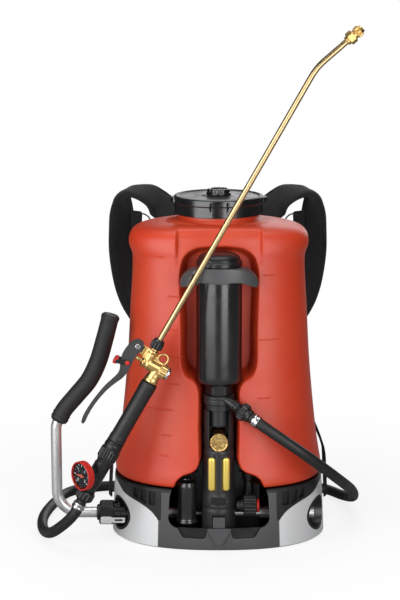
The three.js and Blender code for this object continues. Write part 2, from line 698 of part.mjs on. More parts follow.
function triggerPin() {
  const [px, pz] = TRIGGER.pivot;
  const across = (from, to, radius) => rod([px, from, pz], [px, to, pz], radius, 12);
  return join(across(-9, 9, 2.3), across(-9, -7.4, 3.8), across(7.4, 9, 3.8));
}

// Red catch that holds the trigger down: a pin, two cheeks and a thumb tab behind the trigger.
function triggerLock() {
  const [lx, lz] = TRIGGER.lock;
  const across = (from, to, radius) => rod([lx, from, lz], [lx, to, lz], radius, 12);
  const cheek = [
    [lx + 3, lz - 3], [lx + 3, lz + 3], [lx - 2, lz + 3.4],
    [lx - 15, lz - 3], [lx - 15, lz - 8], [lx - 11, lz - 7],
  ];
  const tabEdge = [[lx - 13, lz - 2], [lx - 17, lz - 4], [lx - 17, lz - 10], [lx - 13, lz - 8.5]];
  const tab = plate(tabEdge, -8.9, 8.9);
  return join(across(-8.9, 8.9, 2.4), plate(cheek, -8.9, -7.4), plate(cheek, 7.4, 8.9), tab);
}

// Handle tube with a little taper and a soft shoulder at each end.
const gripTube = () =>
  turned([
    [7, -GRIP.length], [11.6, -GRIP.length], [11.6, -85], [10.6, -50], [11.4, -4], [10.6, -GAP], [7, -GAP],
    [7, -GRIP.length],
  ], 18);

// Lower fitting of the handle: two sleeves with grip rings and a boss for the pressure gauge.
function gripAdapter() {
  const sleeve = turned([
    [5, -173.6], [10.5, -173.6], [10.5, -162], [11.3, -160], [11.3, -131], [11, -129], [11, -124],
    [13.4, -122], [13.4, -106], [12.2, -96], [12.2, -GRIP.length - GAP], [5, -GRIP.length - GAP], [5, -173.6],
  ], 18);
  const along = vec(...GAUGE.direction).normalize();
  const at = (t) => vec(0, 0, GAUGE.z).addScaledVector(along, t).toArray();
  const boss = cut(rod([0, 0, GAUGE.z], at(19.6), 8, 14), rod([0, 0, -180], [0, 0, -90], 6, 10));
  return join(sleeve, boss);
}

function hoseNut() {
  const body = turned([[0, -190], [9.5, -190], [12.8, -187], [12.8, -177], [11.5, -174], [0, -174]], 12);
  return cut(body, rod([0, 0, -195], [0, 0, -170], 5, 10));
}

const hoseFerrule = () => tube(9.8, HOSE.radius + 1.2, -203, -195, 14);

// Pressure gauge, built along its own +Z, with the dial at the top.
function addGauge(gun) {
  const gauge = new THREE.Group();
  gauge.position.set(0, 0, GAUGE.z);
  const along = vec(...GAUGE.direction).normalize();
  const side = vec(0, 1, 0).cross(along).normalize();
  const turn = new THREE.Matrix4().makeBasis(side, along.clone().cross(side), along);
  gauge.quaternion.setFromRotationMatrix(turn);
  gun.add(gauge);
  const disc = (radius, bottom, top) => turned([[0, bottom], [radius, bottom], [radius, top], [0, top]], 24);
  piece(gauge, "gauge_body", disc(17.2, 20, 27), blackPlastic());
  piece(gauge, "gauge_ring", tube(GAUGE.radius, 17.9, 21, 32.3, 24), redPlastic());
  piece(gauge, "gauge_dial", disc(17.2, 27.4, 28.2), blackPlastic());
  const needle = join(box([-1.1, -5, 28.6], [1.1, 13, 29.2]), disc(2.4, 28.6, 29.5));
  piece(gauge, "gauge_needle", needle, redPlastic());
  piece(gauge, "gauge_lens", disc(17.2, 30, 31), clearPlastic());
}

const bendDirection = () => {
  const angle = THREE.MathUtils.degToRad(LANCE.bendAngle);
  return vec(Math.sin(angle), 0, Math.cos(angle));
};
const lancePoint = (t) => vec(LANCE.x, 0, LANCE.bend).addScaledVector(bendDirection(), t);

// Long brass tube with a bent end.
function lanceTube() {
  const { x, radius, foot, bend, tail } = LANCE;
  const before = vec(x, 0, bend - 12);
  const turn = new THREE.QuadraticBezierCurve3(before, vec(x, 0, bend), lancePoint(12));
  return pipe([vec(x, 0, foot), ...turn.getPoints(4), lancePoint(tail)], radius);
}

function lanceNut() {
  const nut = turned([[0, 44.2], [8.6, 44.2], [8.6, 54], [7, 57], [0, 57]], 12, LANCE.x, 0);
  return cut(nut, rod([LANCE.x, 0, 40], [LANCE.x, 0, 60], LANCE.radius + 0.35, 14));
}

// Brass spray nozzle with a hexagon and a knurled tip.
function nozzle() {
  const end = LANCE.tail;
  const bar = (from, to, radius, sides, endRadius) =>
    rod(lancePoint(from).toArray(), lancePoint(to).toArray(), radius, sides, endRadius);
  const body = join(
    bar(end + GAP, end + 5, 6, 20), bar(end + 4, end + 13, 8, 6), bar(end + 12, end + 17, 6.4, 20),
    bar(end + 16, end + 24, 7.6, 12), bar(end + 23.5, end + 27, 6, 20, 4.5),
  );
  return cut(body, bar(end - 2, end + 30, 1.6, 10));
}

// ---------------------------------------------------------------- carrying harness

const STRAP_CENTRES = [
  [46, 124, 417], [64, 136, 431], [85, 147, 444], [101, 147.5, 458], [117, 147, 462.5], [132, 146, 462],
  [139.5, 146, 453.5], [141.5, 146.5, 434.5], [141, 146.5, 409], [141, 146.5, 380], [138, 141, 350],
  [133, 136, 322], [127, 131, 300], [117, 127, 279], [108, 124, 265],
];
const STRAP_WIDTHS = [
  [0.25, -0.7, -0.55], [0.2, -0.75, -0.58], [0.17, -0.77, -0.61], [0.15, -0.89, -0.43], [0.13, -0.96, -0.23],
  [0.26, -0.96, -0.03], [0.4, -0.92, 0.06], [0.56, -0.83, 0.1], [0.62, -0.78, 0.04], [0.62, -0.78, 0],
  [0.61, -0.79, 0], [0.6, -0.8, 0], [0.57, -0.82, 0], [0.52, -0.85, 0], [0.45, -0.87, 0],
];
const WEBBING_CENTRES = [[100, 125, 240], [104, 121, 195], [128, 103, 150], [150, 62, 104], [151.5, 42, 66]];
const WEBBING_WIDTHS = [
  [0.5, 0.85, -0.2], [0.5, 0.85, -0.1], [0.35, 0.9, 0.2], [0.1, 0.95, 0.2], [0.1, 1, 0],
];

const mirrored = (list, side) => list.map(([x, y, z]) => [side * x, y, z]);

const sideBand = (side, centres, widths, { width, thickness, steps }) =>
  band(mirrored(centres, side), mirrored(widths, side), width, thickness, steps);
const shoulderStrap = (side) => sideBand(side, STRAP_CENTRES, STRAP_WIDTHS, STRAP);
const lowerWebbing = (side) => sideBand(side, WEBBING_CENTRES, WEBBING_WIDTHS, WEBBING);

function strapBuckle(side) {
  const geometry = new THREE.BoxGeometry(9, 38, 14);
  return solid(geometry.rotateZ(side * -0.53).translate(side * 102, 125.5, 250));
}

// Padded cushion behind the tank, against the wearer's back.
function backPad() {
  const [halfWidth, bottom, top, radius] = [80, 140, 395, 24];
  const arc = Array.from({ length: 5 }, (_, i) => (i * Math.PI) / 8);
  const [cx, low, high] = [halfWidth - radius, bottom + radius, top - radius];
  const outline = [
    ...arc.map((a) => [cx + radius * Math.sin(a), low - radius * Math.cos(a)]),
    ...arc.map((a) => [cx + radius * Math.cos(a), high + radius * Math.sin(a)]),
    ...arc.map((a) => [-cx - radius * Math.sin(a), high + radius * Math.cos(a)]),
    ...arc.map((a) => [-cx - radius * Math.cos(a), low - radius * Math.sin(a)]),
  ];
  return plate(outline, 98.5, 112);
}

// ---------------------------------------------------------------- assembly

const sprayer = new THREE.Group();

piece(sprayer, "base_frame", baseFrame(), blackPlastic());
piece(sprayer, "side_panel_left", sidePanel(-1), silverPanel());
piece(sprayer, "side_panel_right", sidePanel(1), silverPanel());
piece(sprayer, "hub_bush_left", hubBush(-1), blackPlastic());
piece(sprayer, "hub_bush_right", hubBush(1), blackPlastic());
piece(sprayer, "tank", tank(), redPlastic());
piece(sprayer, "filler_strainer", fillerStrainer(), whitePlastic());
piece(sprayer, "lid_gasket", lidGasket(), blackRubber());
piece(sprayer, "lid", lid(), blackPlastic());
piece(sprayer, "lid_vent", lidVent(), greyPlastic());

piece(sprayer, "pump_housing", pumpHousing(), blackPlastic());
piece(sprayer, "pump_cylinder", pumpCylinder(), brass());
piece(sprayer, "piston_yoke", pistonYoke(), steel());
piece(sprayer, "piston", piston(), whitePlastic());
piece(sprayer, "piston_seal", pistonSeal(), blackRubber());
piece(sprayer, "pump_head", pumpHead(), blackPlastic());
piece(sprayer, "valve_plug", valvePlug(), brass());
piece(sprayer, "mount_disc", mountDisc(), blackPlastic());
piece(sprayer, "chamber_neck", chamberNeck(), blackPlastic());
piece(sprayer, "pressure_chamber", pressureChamber(), blackPlastic());
piece(sprayer, "chamber_cap", chamberCap(), blackPlastic());
piece(sprayer, "chamber_saddle", chamberSaddle(), greyPlastic());

piece(sprayer, "suction_cup", suctionCup(), blackPlastic());
piece(sprayer, "suction_elbow", suctionElbow(), blackPlastic());
piece(sprayer, "suction_knob", suctionKnob(), blackPlastic());
piece(sprayer, "knob_cap", knobCap(), redPlastic());
piece(sprayer, "outlet_nut", outletNut(), blackPlastic());
piece(sprayer, "outlet_ferrule", outletFerrule(), steel());
piece(sprayer, "hose", hose(), blackRubber());

piece(sprayer, "drive_shaft", driveShaft(), steel());
piece(sprayer, "crank_arm", crankArm(), steel());
piece(sprayer, "lever_socket", leverSocket(), blackPlastic());
piece(sprayer, "lever_clip", leverClip(), steel());
piece(sprayer, "lever_tube", leverTube(), steel());
piece(sprayer, "lever_grip", leverGrip(), blackRubber());

const gun = new THREE.Group();
gun.applyMatrix4(gunMatrix());
sprayer.add(gun);
piece(gun, "valve_body", valveBody(), brass());
piece(gun, "chrome_plug", chromePlug(), steel());
piece(gun, "valve_stem", valveStem(), brass());
piece(gun, "trigger", trigger(), blackPlastic());
piece(gun, "trigger_pin", triggerPin(), steel());
piece(gun, "trigger_lock", triggerLock(), redPlastic());
piece(gun, "grip_tube", gripTube(), blackRubber());
piece(gun, "grip_adapter", gripAdapter(), blackPlastic());
piece(gun, "hose_nut", hoseNut(), blackPlastic());
piece(gun, "hose_ferrule", hoseFerrule(), steel());
piece(gun, "lance_nut", lanceNut(), blackPlastic());
piece(gun, "lance_tube", lanceTube(), brass());
piece(gun, "nozzle", nozzle(), brass());
addGauge(gun);

piece(sprayer, "back_pad", backPad(), blackFabric());
for (const [side, word] of [[-1, "left"], [1, "right"]]) {
  piece(sprayer, `shoulder_strap_${word}`, shoulderStrap(side), blackFabric());
  piece(sprayer, `lower_webbing_${word}`, lowerWebbing(side), blackFabric());
  piece(sprayer, `strap_buckle_${word}`, strapBuckle(side), blackPlastic());
}

export default sprayer;
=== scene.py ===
"""Looks of the backpack sprayer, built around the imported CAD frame.

Shapes are written in millimetres and become metres when a mesh is made. Places come from the
frame's boxes and joints. The pump faces -Y, the wearer's back is on the +Y side.
"""

import json
import math
import random

import bmesh
import bpy
import numpy as np
from mathutils import Matrix, Vector


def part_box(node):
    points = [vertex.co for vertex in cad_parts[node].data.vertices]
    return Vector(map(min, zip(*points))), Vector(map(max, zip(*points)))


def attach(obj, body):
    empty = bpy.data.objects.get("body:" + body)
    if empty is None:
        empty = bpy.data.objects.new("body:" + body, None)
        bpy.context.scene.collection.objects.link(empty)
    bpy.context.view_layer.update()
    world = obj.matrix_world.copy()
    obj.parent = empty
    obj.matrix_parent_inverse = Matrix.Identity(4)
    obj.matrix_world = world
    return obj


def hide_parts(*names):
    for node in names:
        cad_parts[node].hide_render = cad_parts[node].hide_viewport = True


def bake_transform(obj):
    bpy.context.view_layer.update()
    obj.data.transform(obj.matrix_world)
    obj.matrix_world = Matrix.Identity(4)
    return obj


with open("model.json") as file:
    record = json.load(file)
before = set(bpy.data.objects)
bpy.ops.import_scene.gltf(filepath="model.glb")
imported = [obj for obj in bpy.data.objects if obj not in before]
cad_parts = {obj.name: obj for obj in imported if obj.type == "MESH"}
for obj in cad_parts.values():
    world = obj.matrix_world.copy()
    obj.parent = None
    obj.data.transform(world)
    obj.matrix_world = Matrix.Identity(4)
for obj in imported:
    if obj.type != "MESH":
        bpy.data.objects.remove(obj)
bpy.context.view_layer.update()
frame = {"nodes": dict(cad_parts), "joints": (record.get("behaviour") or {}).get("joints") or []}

MM = 0.001
TAU = 2 * math.pi
RANDOM = random.Random(7)


# ---------------------------------------------------------------- places taken from the frame

def box_mm(node):
    low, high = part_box(node)
    return np.array(low) / MM, np.array(high) / MM


def centre_mm(node):
    low, high = box_mm(node)
    return (low + high) / 2


def joint_point(name):
    joint = next(j for j in frame["joints"] if j["name"] == name)
    return np.array(joint["pos_m"]) / MM


def joint_axis(name):
    joint = next(j for j in frame["joints"] if j["name"] == name)
    return Vector(joint["axis"]).normalized()


BASE_TOP = box_mm("base_frame")[1][2]
NECK_TOP = box_mm("tank")[1][2]
PUMP = centre_mm("pressure_chamber")[:2]
CHAMBER_LOW, CHAMBER_HIGH = (corner[2] for corner in box_mm("pressure_chamber"))
LID = centre_mm("lid")[:2]
HUB_Y, HUB_Z = joint_point("lever_pump")[1:]

ON_PUMP = Matrix.Translation((PUMP[0], PUMP[1], 0))
ON_LID = Matrix.Translation((LID[0], LID[1], 0))

# The gun's own frame: +Z up the lance, +X away from the trigger, origin at the top of the handle.
LANCE_X = -16.8
TRIGGER_PIVOT = (-38.6, 36.1)
GUN_Z = joint_axis("lance_swivel")
GUN_X = Vector((GUN_Z.z, 0, -GUN_Z.x))
GUN_ORIGIN = Vector(joint_point("trigger_squeeze")) - TRIGGER_PIVOT[0] * GUN_X - TRIGGER_PIVOT[1] * GUN_Z


def frame_at(origin, x_axis, z_axis):
    """Matrix whose local +Z is z_axis and whose local +X is as near x_axis as it can be."""
    z = Vector(z_axis).normalized()
    y = z.cross(Vector(x_axis)).normalized()
    rows = Matrix((y.cross(z), y, z)).transposed()
    return Matrix.Translation(Vector(origin)) @ rows.to_4x4()


GUN = frame_at(GUN_ORIGIN, GUN_X, GUN_Z)
GAUGE_AXIS = -joint_axis("gauge_swing")
GAUGE = frame_at(joint_point("gauge_swing"), (0, 0, 1), GAUGE_AXIS)


# ---------------------------------------------------------------- mesh helpers

def mesh_object(name, points, faces, material=None, place=None, uvs=None, crease=38):
    """Mesh from points in millimetres; place maps the points' own frame into the row frame."""
    points = np.array(points, float)
    if place is not None:
        matrix = np.array(place)
        points = points @ matrix[:3, :3].T + matrix[:3, 3]
    mesh = bpy.data.meshes.new(name)
    mesh.from_pydata((points * MM).tolist(), [], faces)
    if uvs is not None:
        layer = mesh.uv_layers.new(name="UVMap")
        for loop in mesh.loops:
            layer.data[loop.index].uv = uvs[loop.vertex_index]
    work = bmesh.new()
    work.from_mesh(mesh)
    bmesh.ops.recalc_face_normals(work, faces=work.faces)
    work.to_mesh(mesh)
    work.free()
    if material:
        mesh.materials.append(material)
    obj = bpy.data.objects.new(name, mesh)
    bpy.context.scene.collection.objects.link(obj)
    smooth(obj, crease)
    return obj


def smooth(obj, crease=38):
    obj.data.shade_smooth()
    obj.data.set_sharp_from_angle(angle=math.radians(crease))


def even_normals(obj):
    """Keeps flat faces flat beside rounded edges."""
    modifier = obj.modifiers.new("normals", "WEIGHTED_NORMAL")
    modifier.keep_sharp = True
    return obj


def bake(obj):
    """Turns the result of the modifiers into the object's own mesh."""
    depsgraph = bpy.context.evaluated_depsgraph_get()
    mesh = bpy.data.meshes.new_from_object(obj.evaluated_get(depsgraph), depsgraph=depsgraph)
    obj.modifiers.clear()
    obj.data = mesh
    return obj


def combine(obj, others, operation):
    """Exact boolean of obj with each of the others, which are used up."""
    for other in others:
        modifier = obj.modifiers.new("combine", "BOOLEAN")
        modifier.object = other
        modifier.operation = operation
        modifier.solver = "EXACT"
        bake(obj)
        bpy.data.objects.remove(other)
    return obj


def cut(obj, *tools):
    return combine(obj, tools, "DIFFERENCE")


def union(obj, *others):
    return combine(obj, others, "UNION")


def gather(name, parts, material=None):
    """One object that holds the meshes of several; each keeps its own material unless one is given."""
    for part in parts:
        bake(part)
    with bpy.context.temp_override(active_object=parts[0], selected_editable_objects=parts):
        bpy.ops.object.join()
    whole = parts[0]
    whole.name = name
    if material:
        whole.data.materials.clear()
        whole.data.materials.append(material)
    return whole


def edge(obj, width, segments=3, angle=32):
    """Rounds the sharp edges."""
    modifier = obj.modifiers.new("edge", "BEVEL")
    modifier.width = width * MM
    modifier.segments = segments
    modifier.limit_method = "ANGLE"
    modifier.angle_limit = math.radians(angle)
    modifier.use_clamp_overlap = True
    modifier.harden_normals = True
    return obj


def cast(obj, voxel, rounds):
    """Melts overlapping parts into one skin with soft inner corners, as a casting has."""
    modifier = obj.modifiers.new("skin", "REMESH")
    modifier.mode = "VOXEL"
    modifier.voxel_size = voxel * MM
    modifier.use_smooth_shade = True
    relax = obj.modifiers.new("relax", "SMOOTH")
    relax.iterations = rounds
    bake(obj)
    smooth(obj, 180)


def rings_object(name, rings, material=None, place=None, uvs=None, loop=False, crease=38):
    """Skin through rings of equal count. loop joins the last ring to the first, otherwise both ends close."""
    count = len(rings[0])
    total = len(rings)
    faces = []
    for r in range(total if loop else total - 1):
        a, b = r * count, ((r + 1) % total) * count
        for i in range(count):
            j = (i + 1) % count
            faces.append((a + i, a + j, b + j, b + i))
    points = np.concatenate([np.array(ring, float) for ring in rings])
    if not loop:
        for start, flip in ((0, False), ((total - 1) * count, True)):
            middle = len(points)
            points = np.vstack([points, points[start:start + count].mean(0)])
            for i in range(count):
                pair = (start + i, start + (i + 1) % count)
                faces.append((middle, *(reversed(pair) if flip else pair)))
    return mesh_object(name, points, faces, material, place, uvs, crease)


CORNER_STEPS = 4


def soften(profile, radius, closed=False):
    """Replaces each corner of a [a, b] outline by a short arc of about the given radius."""
    points = [np.array(p, float) for p in profile]
    count = len(points)
    result = []
    for i, point in enumerate(points):
        if not closed and i in (0, count - 1):
            result.append(point)
            continue
        before, after = points[i - 1] - point, points[(i + 1) % count] - point
        reach = min(radius, 0.48 * np.linalg.norm(before), 0.48 * np.linalg.norm(after))
        start = point + before / np.linalg.norm(before) * reach
        end = point + after / np.linalg.norm(after) * reach
        for k in range(CORNER_STEPS + 1):
            t = k / CORNER_STEPS
            result.append((1 - t) ** 2 * start + 2 * t * (1 - t) * point + t * t * end)
    return result


def rectangle(a0, b0, a1, b1):
    return [(a0, b0), (a1, b0), (a1, b1), (a0, b1)]


def rounded(a0, b0, a1, b1, radius):
    """Rectangle with softened corners."""
    return soften(rectangle(a0, b0, a1, b1), radius, True)


def lathe(name, profile, material, place=None, steps=96, soft=0.8, shape=None, closed=False):
    """Turned body about local +Z from [radius, z] points. Open profiles are closed to the axis.

    shape(angle, radius, z) gives the radius where the body isn't round.
    """
    outline = soften(profile, soft, closed) if soft else [np.array(p, float) for p in profile]
    angles = np.arange(steps) * TAU / steps
    rings = []
    for radius, z in outline:
        radii = [shape(a, radius, z) if shape else radius for a in angles]
        rings.append([(r * math.cos(a), r * math.sin(a), z) for a, r in zip(angles, radii)])
    return even_normals(rings_object(name, rings, material, place, loop=closed))


def ribbed(count, depth, low, high):
    """Shape for lathe: upright ribs between two heights."""
    def shape(angle, radius, z):
        if low <= z <= high and radius > 3 * depth:
            return radius - depth * (0.5 - 0.5 * math.cos(count * angle)) ** 2
        return radius
    return shape


def hexagon(low, high, across):
    """Shape for lathe: six flats between two heights."""
    def shape(angle, radius, z):
        flat = across / math.cos((angle % (TAU / 6)) - TAU / 12)
        return min(radius, flat) if low <= z <= high else radius
    return shape


def spline(points, per_span=8):
    """Smooth curve through points (centripetal Catmull-Rom)."""
    points = [np.array(p, float) for p in points]
    ends = [2 * points[0] - points[1]], [2 * points[-1] - points[-2]]
    chain = ends[0] + points + ends[1]
    result = []
    for p0, p1, p2, p3 in zip(chain, chain[1:], chain[2:], chain[3:]):
        t1 = np.linalg.norm(p1 - p0) ** 0.5
        t2 = t1 + np.linalg.norm(p2 - p1) ** 0.5
        t3 = t2 + np.linalg.norm(p3 - p2) ** 0.5
        for k in range(per_span):
            t = t1 + (t2 - t1) * k / per_span
            a1 = (t1 - t) / t1 * p0 + t / t1 * p1
            a2 = (t2 - t) / (t2 - t1) * p1 + (t - t1) / (t2 - t1) * p2
            a3 = (t3 - t) / (t3 - t2) * p2 + (t - t2) / (t3 - t2) * p3
            b1 = (t2 - t) / t2 * a1 + t / t2 * a2
            b2 = (t3 - t) / (t3 - t1) * a2 + (t - t1) / (t3 - t1) * a3
            result.append((t2 - t) / (t2 - t1) * b1 + (t - t1) / (t2 - t1) * b2)
    return result + [points[-1]]


def tangents(path):
    path = np.array(path)
    steps = np.gradient(path, axis=0)
    return steps / np.linalg.norm(steps, axis=1)[:, None]


def lengths(path):
    steps = np.linalg.norm(np.diff(np.array(path), axis=0), axis=1)
    return np.concatenate([[0], np.cumsum(steps)])


def pipe(name, path, radius, material, place=None, sides=32):
    """Round bar along a path; radius is a number or a function of the length along the path."""
    path = np.array(path, float)
    ways = tangents(path)
    run = lengths(path)
    side = np.cross(ways[0], (0.31, 0.87, 0.38))
    turn = [TAU * i / sides for i in range(sides)]
    rings, uvs = [], []
    for centre, way, distance in zip(path, ways, run):
        side = side - way * side.dot(way)
        side /= np.linalg.norm(side)
        up = np.cross(way, side)
        size = radius(distance) if callable(radius) else radius
        rings.append([centre + size * (math.cos(a) * side + math.sin(a) * up) for a in turn])
        uvs += [(i / sides, distance * MM) for i in range(sides)]
    uvs += [(0, 0), (0, run[-1] * MM)]
    return rings_object(name, rings, material, place, uvs)


def prism(name, outline, low, high, material=None, place=None):
    """Straight body over a closed [a, b] outline, between two heights of local +Z."""
    rings = [[(a, b, z) for a, b in outline] for z in (low, high)]
    count = len(outline)
    faces = [(i, (i + 1) % count, count + (i + 1) % count, count + i) for i in range(count)]
    faces += [tuple(range(count)), tuple(range(2 * count - 1, count - 1, -1))]
    return mesh_object(name, np.concatenate([np.array(r) for r in rings]), faces, material, place)


def block(name, low, high, material=None, place=None):
    return prism(name, rectangle(*low[:2], *high[:2]), low[2], high[2], material, place)


def rod(name, radius, low, high, material, place):
    """Plain round tool about local +Z."""
    return lathe(name, [(0, low), (radius, low), (radius, high), (0, high)], material, place, 32, 0)


# Local +Z of a prism or lathe along the row's axes.
ALONG_X = Matrix(((0, 0, 1, 0), (1, 0, 0, 0), (0, 1, 0, 0), (0, 0, 0, 1)))
FACING_FRONT = Matrix(((1, 0, 0, 0), (0, 0, -1, 0), (0, 1, 0, 0), (0, 0, 0, 1)))


def step(value, low, high):
    """0 below low, 1 above high and smooth between."""
    t = np.clip((value - low) / (high - low), 0, 1)
    return t * t * (3 - 2 * t)


def dress(obj, body, slot, *nodes):
    """Rides on a body and stands for CAD nodes, whose own meshes it hides; slot is not used."""
    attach(obj, body)
    if nodes:
        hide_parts(*nodes)
    return obj


# ---------------------------------------------------------------- materials

class Surface:
    """Short way to wire a Principled material whose patterns follow the object's own metres."""

    def __init__(self, name, colour, roughness, metallic=0.0):
        self.material = bpy.data.materials.new(name)
        self.material.use_nodes = True
        self.material.diffuse_color = (*colour, 1)
        self.tree = self.material.node_tree
        self.shader = self.tree.nodes["Principled BSDF"]
        self.colour = self.rgb(colour)
        self.put("Metallic", metallic)
        self.put("Roughness", roughness)
        self.where = self.node("TexCoord").outputs["Object"]
        self.normal = None

    def node(self, kind, **settings):
        node = self.tree.nodes.new("ShaderNode" + kind)
        for key, value in settings.items():
            setattr(node, key, value)
        return node

    def link(self, source, target):
        self.tree.links.new(source, target)

    def put(self, socket, value):
        if isinstance(value, bpy.types.NodeSocket):
            self.link(value, self.shader.inputs[socket])
        else:
            self.shader.inputs[socket].default_value = value

    def rgb(self, colour):
        node = self.node("RGB")
        node.outputs[0].default_value = (*colour, 1)
        return node.outputs[0]

    def noise(self, size, detail=3.0, stretch=(1, 1, 1)):
        """Noise whose features are about size metres; stretch scales its space."""
        mapping = self.node("Mapping")
        mapping.inputs["Scale"].default_value = stretch
        self.link(self.where, mapping.inputs["Vector"])
        node = self.node("TexNoise")
        node.inputs["Scale"].default_value = 1 / size
        node.inputs["Detail"].default_value = detail
        self.link(mapping.outputs[0], node.inputs["Vector"])
        return node.outputs["Fac"]

    def cells(self, size, **settings):
        """Distance to the middles of cells about size metres wide."""
        node = self.node("TexVoronoi", **settings)
        node.inputs["Scale"].default_value = 1 / size
        self.link(self.where, node.inputs["Vector"])
        return node.outputs["Distance"]

    def weave(self, first, second, pitch, stretch=1.0):
        """Over-and-under threads along two axes of the pattern's space."""
        split = self.node("SeparateXYZ")
        self.link(self.where, split.inputs[0])
        across = self.math("SINE", self.math("MULTIPLY", split.outputs[first], TAU / pitch))
        along = self.math("SINE", self.math("MULTIPLY", split.outputs[second], TAU / pitch / stretch))
        return self.remap(self.math("MULTIPLY", across, along), 0, 1, -0.8, 0.8)

    def remap(self, value, low, high, start=0.3, end=0.7, **settings):
        """Maps start to end onto low to high."""
        node = self.node("MapRange", **settings)
        for socket, number in zip(("From Min", "From Max", "To Min", "To Max"), (start, end, low, high)):
            node.inputs[socket].default_value = number
        self.link(value, node.inputs["Value"])
        return node.outputs[0]

    def math(self, operation, a, b=None):
        node = self.node("Math", operation=operation)
        for socket, value in zip(node.inputs, (a, b)):
            if isinstance(value, bpy.types.NodeSocket):
                self.link(value, socket)
            elif value is not None:
                socket.default_value = value
        return node.outputs[0]

    def blend(self, factor, colour):
        """Mixes another colour over the current one."""
        node = self.node("Mix", data_type="RGBA")
        self.link(factor, node.inputs["Factor"])
        self.link(self.colour, node.inputs["A"])
        if isinstance(colour, bpy.types.NodeSocket):
            self.link(colour, node.inputs["B"])
        else:
            node.inputs["B"].default_value = (*colour, 1)
        self.colour = node.outputs["Result"]

    def bump(self, height, distance):
        node = self.node("Bump")
        node.inputs["Distance"].default_value = distance
        self.link(height, node.inputs["Height"])
        if self.normal:
            self.link(self.normal, node.inputs["Normal"])
        self.normal = node.outputs["Normal"]

    def done(self):
        self.put("Base Color", self.colour)
        if self.normal:
            self.put("Normal", self.normal)
        return self.material


def scaled(colour, factor):
    return tuple(min(1.0, c * factor) for c in colour)


def moulded(name, colour, roughness, grain=0.0004, depth=0.000012, mottle=0.12, ior=1.5):
    """Moulded plastic: slight mottling, faint scuffs, uneven gloss and fine grain."""
    s = Surface(name, colour, roughness)
    s.blend(s.remap(s.noise(0.06), 0, 1), scaled(colour, 1 - mottle))
    s.blend(s.remap(s.noise(0.012, 5), 0, 0.5), scaled(colour, 1 + mottle))
    s.put("Roughness", s.remap(s.noise(0.02, 6), roughness - 0.06, roughness + 0.07))
    s.put("IOR", ior)
    scuffs = s.math("POWER", s.remap(s.noise(0.004, 8, (1, 1, 0.25)), 0, 1, 0.5, 0.8), 3.0)
    s.blend(s.math("MULTIPLY", scuffs, 0.15), scaled(colour, 2.2))
    s.bump(s.noise(grain, 2), depth)
    return s.done()


def red_hdpe():
    """Blow moulded polyethylene: satin, faintly wavy, with light passing a little way in."""
    colour = (0.56, 0.036, 0.01)
    s = Surface("red_plastic", colour, 0.4)
    s.blend(s.remap(s.noise(0.09), 0, 0.8), (0.57, 0.058, 0.014))
    s.blend(s.remap(s.noise(0.014, 6), 0, 0.3), (0.5, 0.034, 0.01))
    s.put("Roughness", s.remap(s.noise(0.03, 6), 0.38, 0.48))
    s.put("Subsurface Weight", 0.1)
    s.put("Subsurface Radius", (0.9, 0.25, 0.15))
    s.put("Subsurface Scale", 0.003)
    s.put("Coat Weight", 0.18)
    s.put("Coat Roughness", 0.5)
    s.bump(s.noise(0.05, 2), 0.0005)
    s.bump(s.noise(0.0008, 2), 0.00002)
    return s.done()


def metal(name, colour, roughness, scratch=(1, 1, 1), tarnish=None, metallic=1.0):
    """Metal with fine scratches along one way and, if wanted, darker tarnish in patches."""
    s = Surface(name, colour, roughness, metallic)
    if tarnish:
        s.blend(s.remap(s.noise(0.008, 5), 0, 0.4), tarnish)
    s.put("Roughness", s.remap(s.noise(0.006, 4, scratch), roughness - 0.03, roughness + 0.04))
    s.bump(s.noise(0.003, 3, scratch), 0.000004)
    return s.done()


def coined_brass():
    """Brass with a hammered relief."""
    s = Surface("coined_brass", (0.86, 0.58, 0.22), 0.3, 1.0)
    dents = s.cells(0.0042, feature="SMOOTH_F1")
    s.blend(s.remap(dents, 0, 0.5, 0.25, 0.6), (0.36, 0.2, 0.05))
    s.bump(dents, 0.0007)
    s.bump(s.noise(0.0022, 4), 0.0003)
    return s.done()


def woven(name, colour, thread=0.0011, relief=0.0005):
    """Webbing or strap cloth: over-and-under threads laid out on the strip's own map."""
    s = Surface(name, colour, 0.85)
    s.where = s.node("UVMap").outputs["UV"]
    weave = s.weave("X", "Y", thread, 1.4)
    s.blend(weave, scaled(colour, 2.1))
    s.blend(s.remap(s.noise(0.03, 4), 0, 0.5), scaled(colour, 0.55))
    s.put("Specular IOR Level", 0.2)
    s.put("Sheen Weight", 0.15)
    s.put("Sheen Roughness", 0.5)
    s.bump(weave, relief)
    return s.done()


def padded_cloth(name, colour):
    """Woven cover over foam, patterned in space because the pad has no map of its own."""
    s = Surface(name, colour, 0.88)
    weave = s.weave("X", "Z", 0.0016)
    s.blend(weave, scaled(colour, 1.9))
    s.blend(s.remap(s.noise(0.04, 4), 0, 0.5), scaled(colour, 0.6))
    s.put("Sheen Weight", 0.3)
    s.bump(weave, 0.0004)
    s.bump(s.noise(0.02, 3), 0.0008)
    return s.done()


def foam(name, colour):
    """Closed-cell foam sleeve."""
    s = Surface(name, colour, 0.62)
    s.blend(s.remap(s.noise(0.02), 0, 0.7), scaled(colour, 1.5))
    s.bump(s.cells(0.0008), 0.00012)
    return s.done()


def lens_plastic():
    s = Surface("clear_plastic", (0.95, 0.97, 1.0), 0.05)
    s.put("Transmission Weight", 1.0)
    s.put("IOR", 1.15)
    s.put("Roughness", s.remap(s.noise(0.01, 5), 0.02, 0.08))
    return s.done()


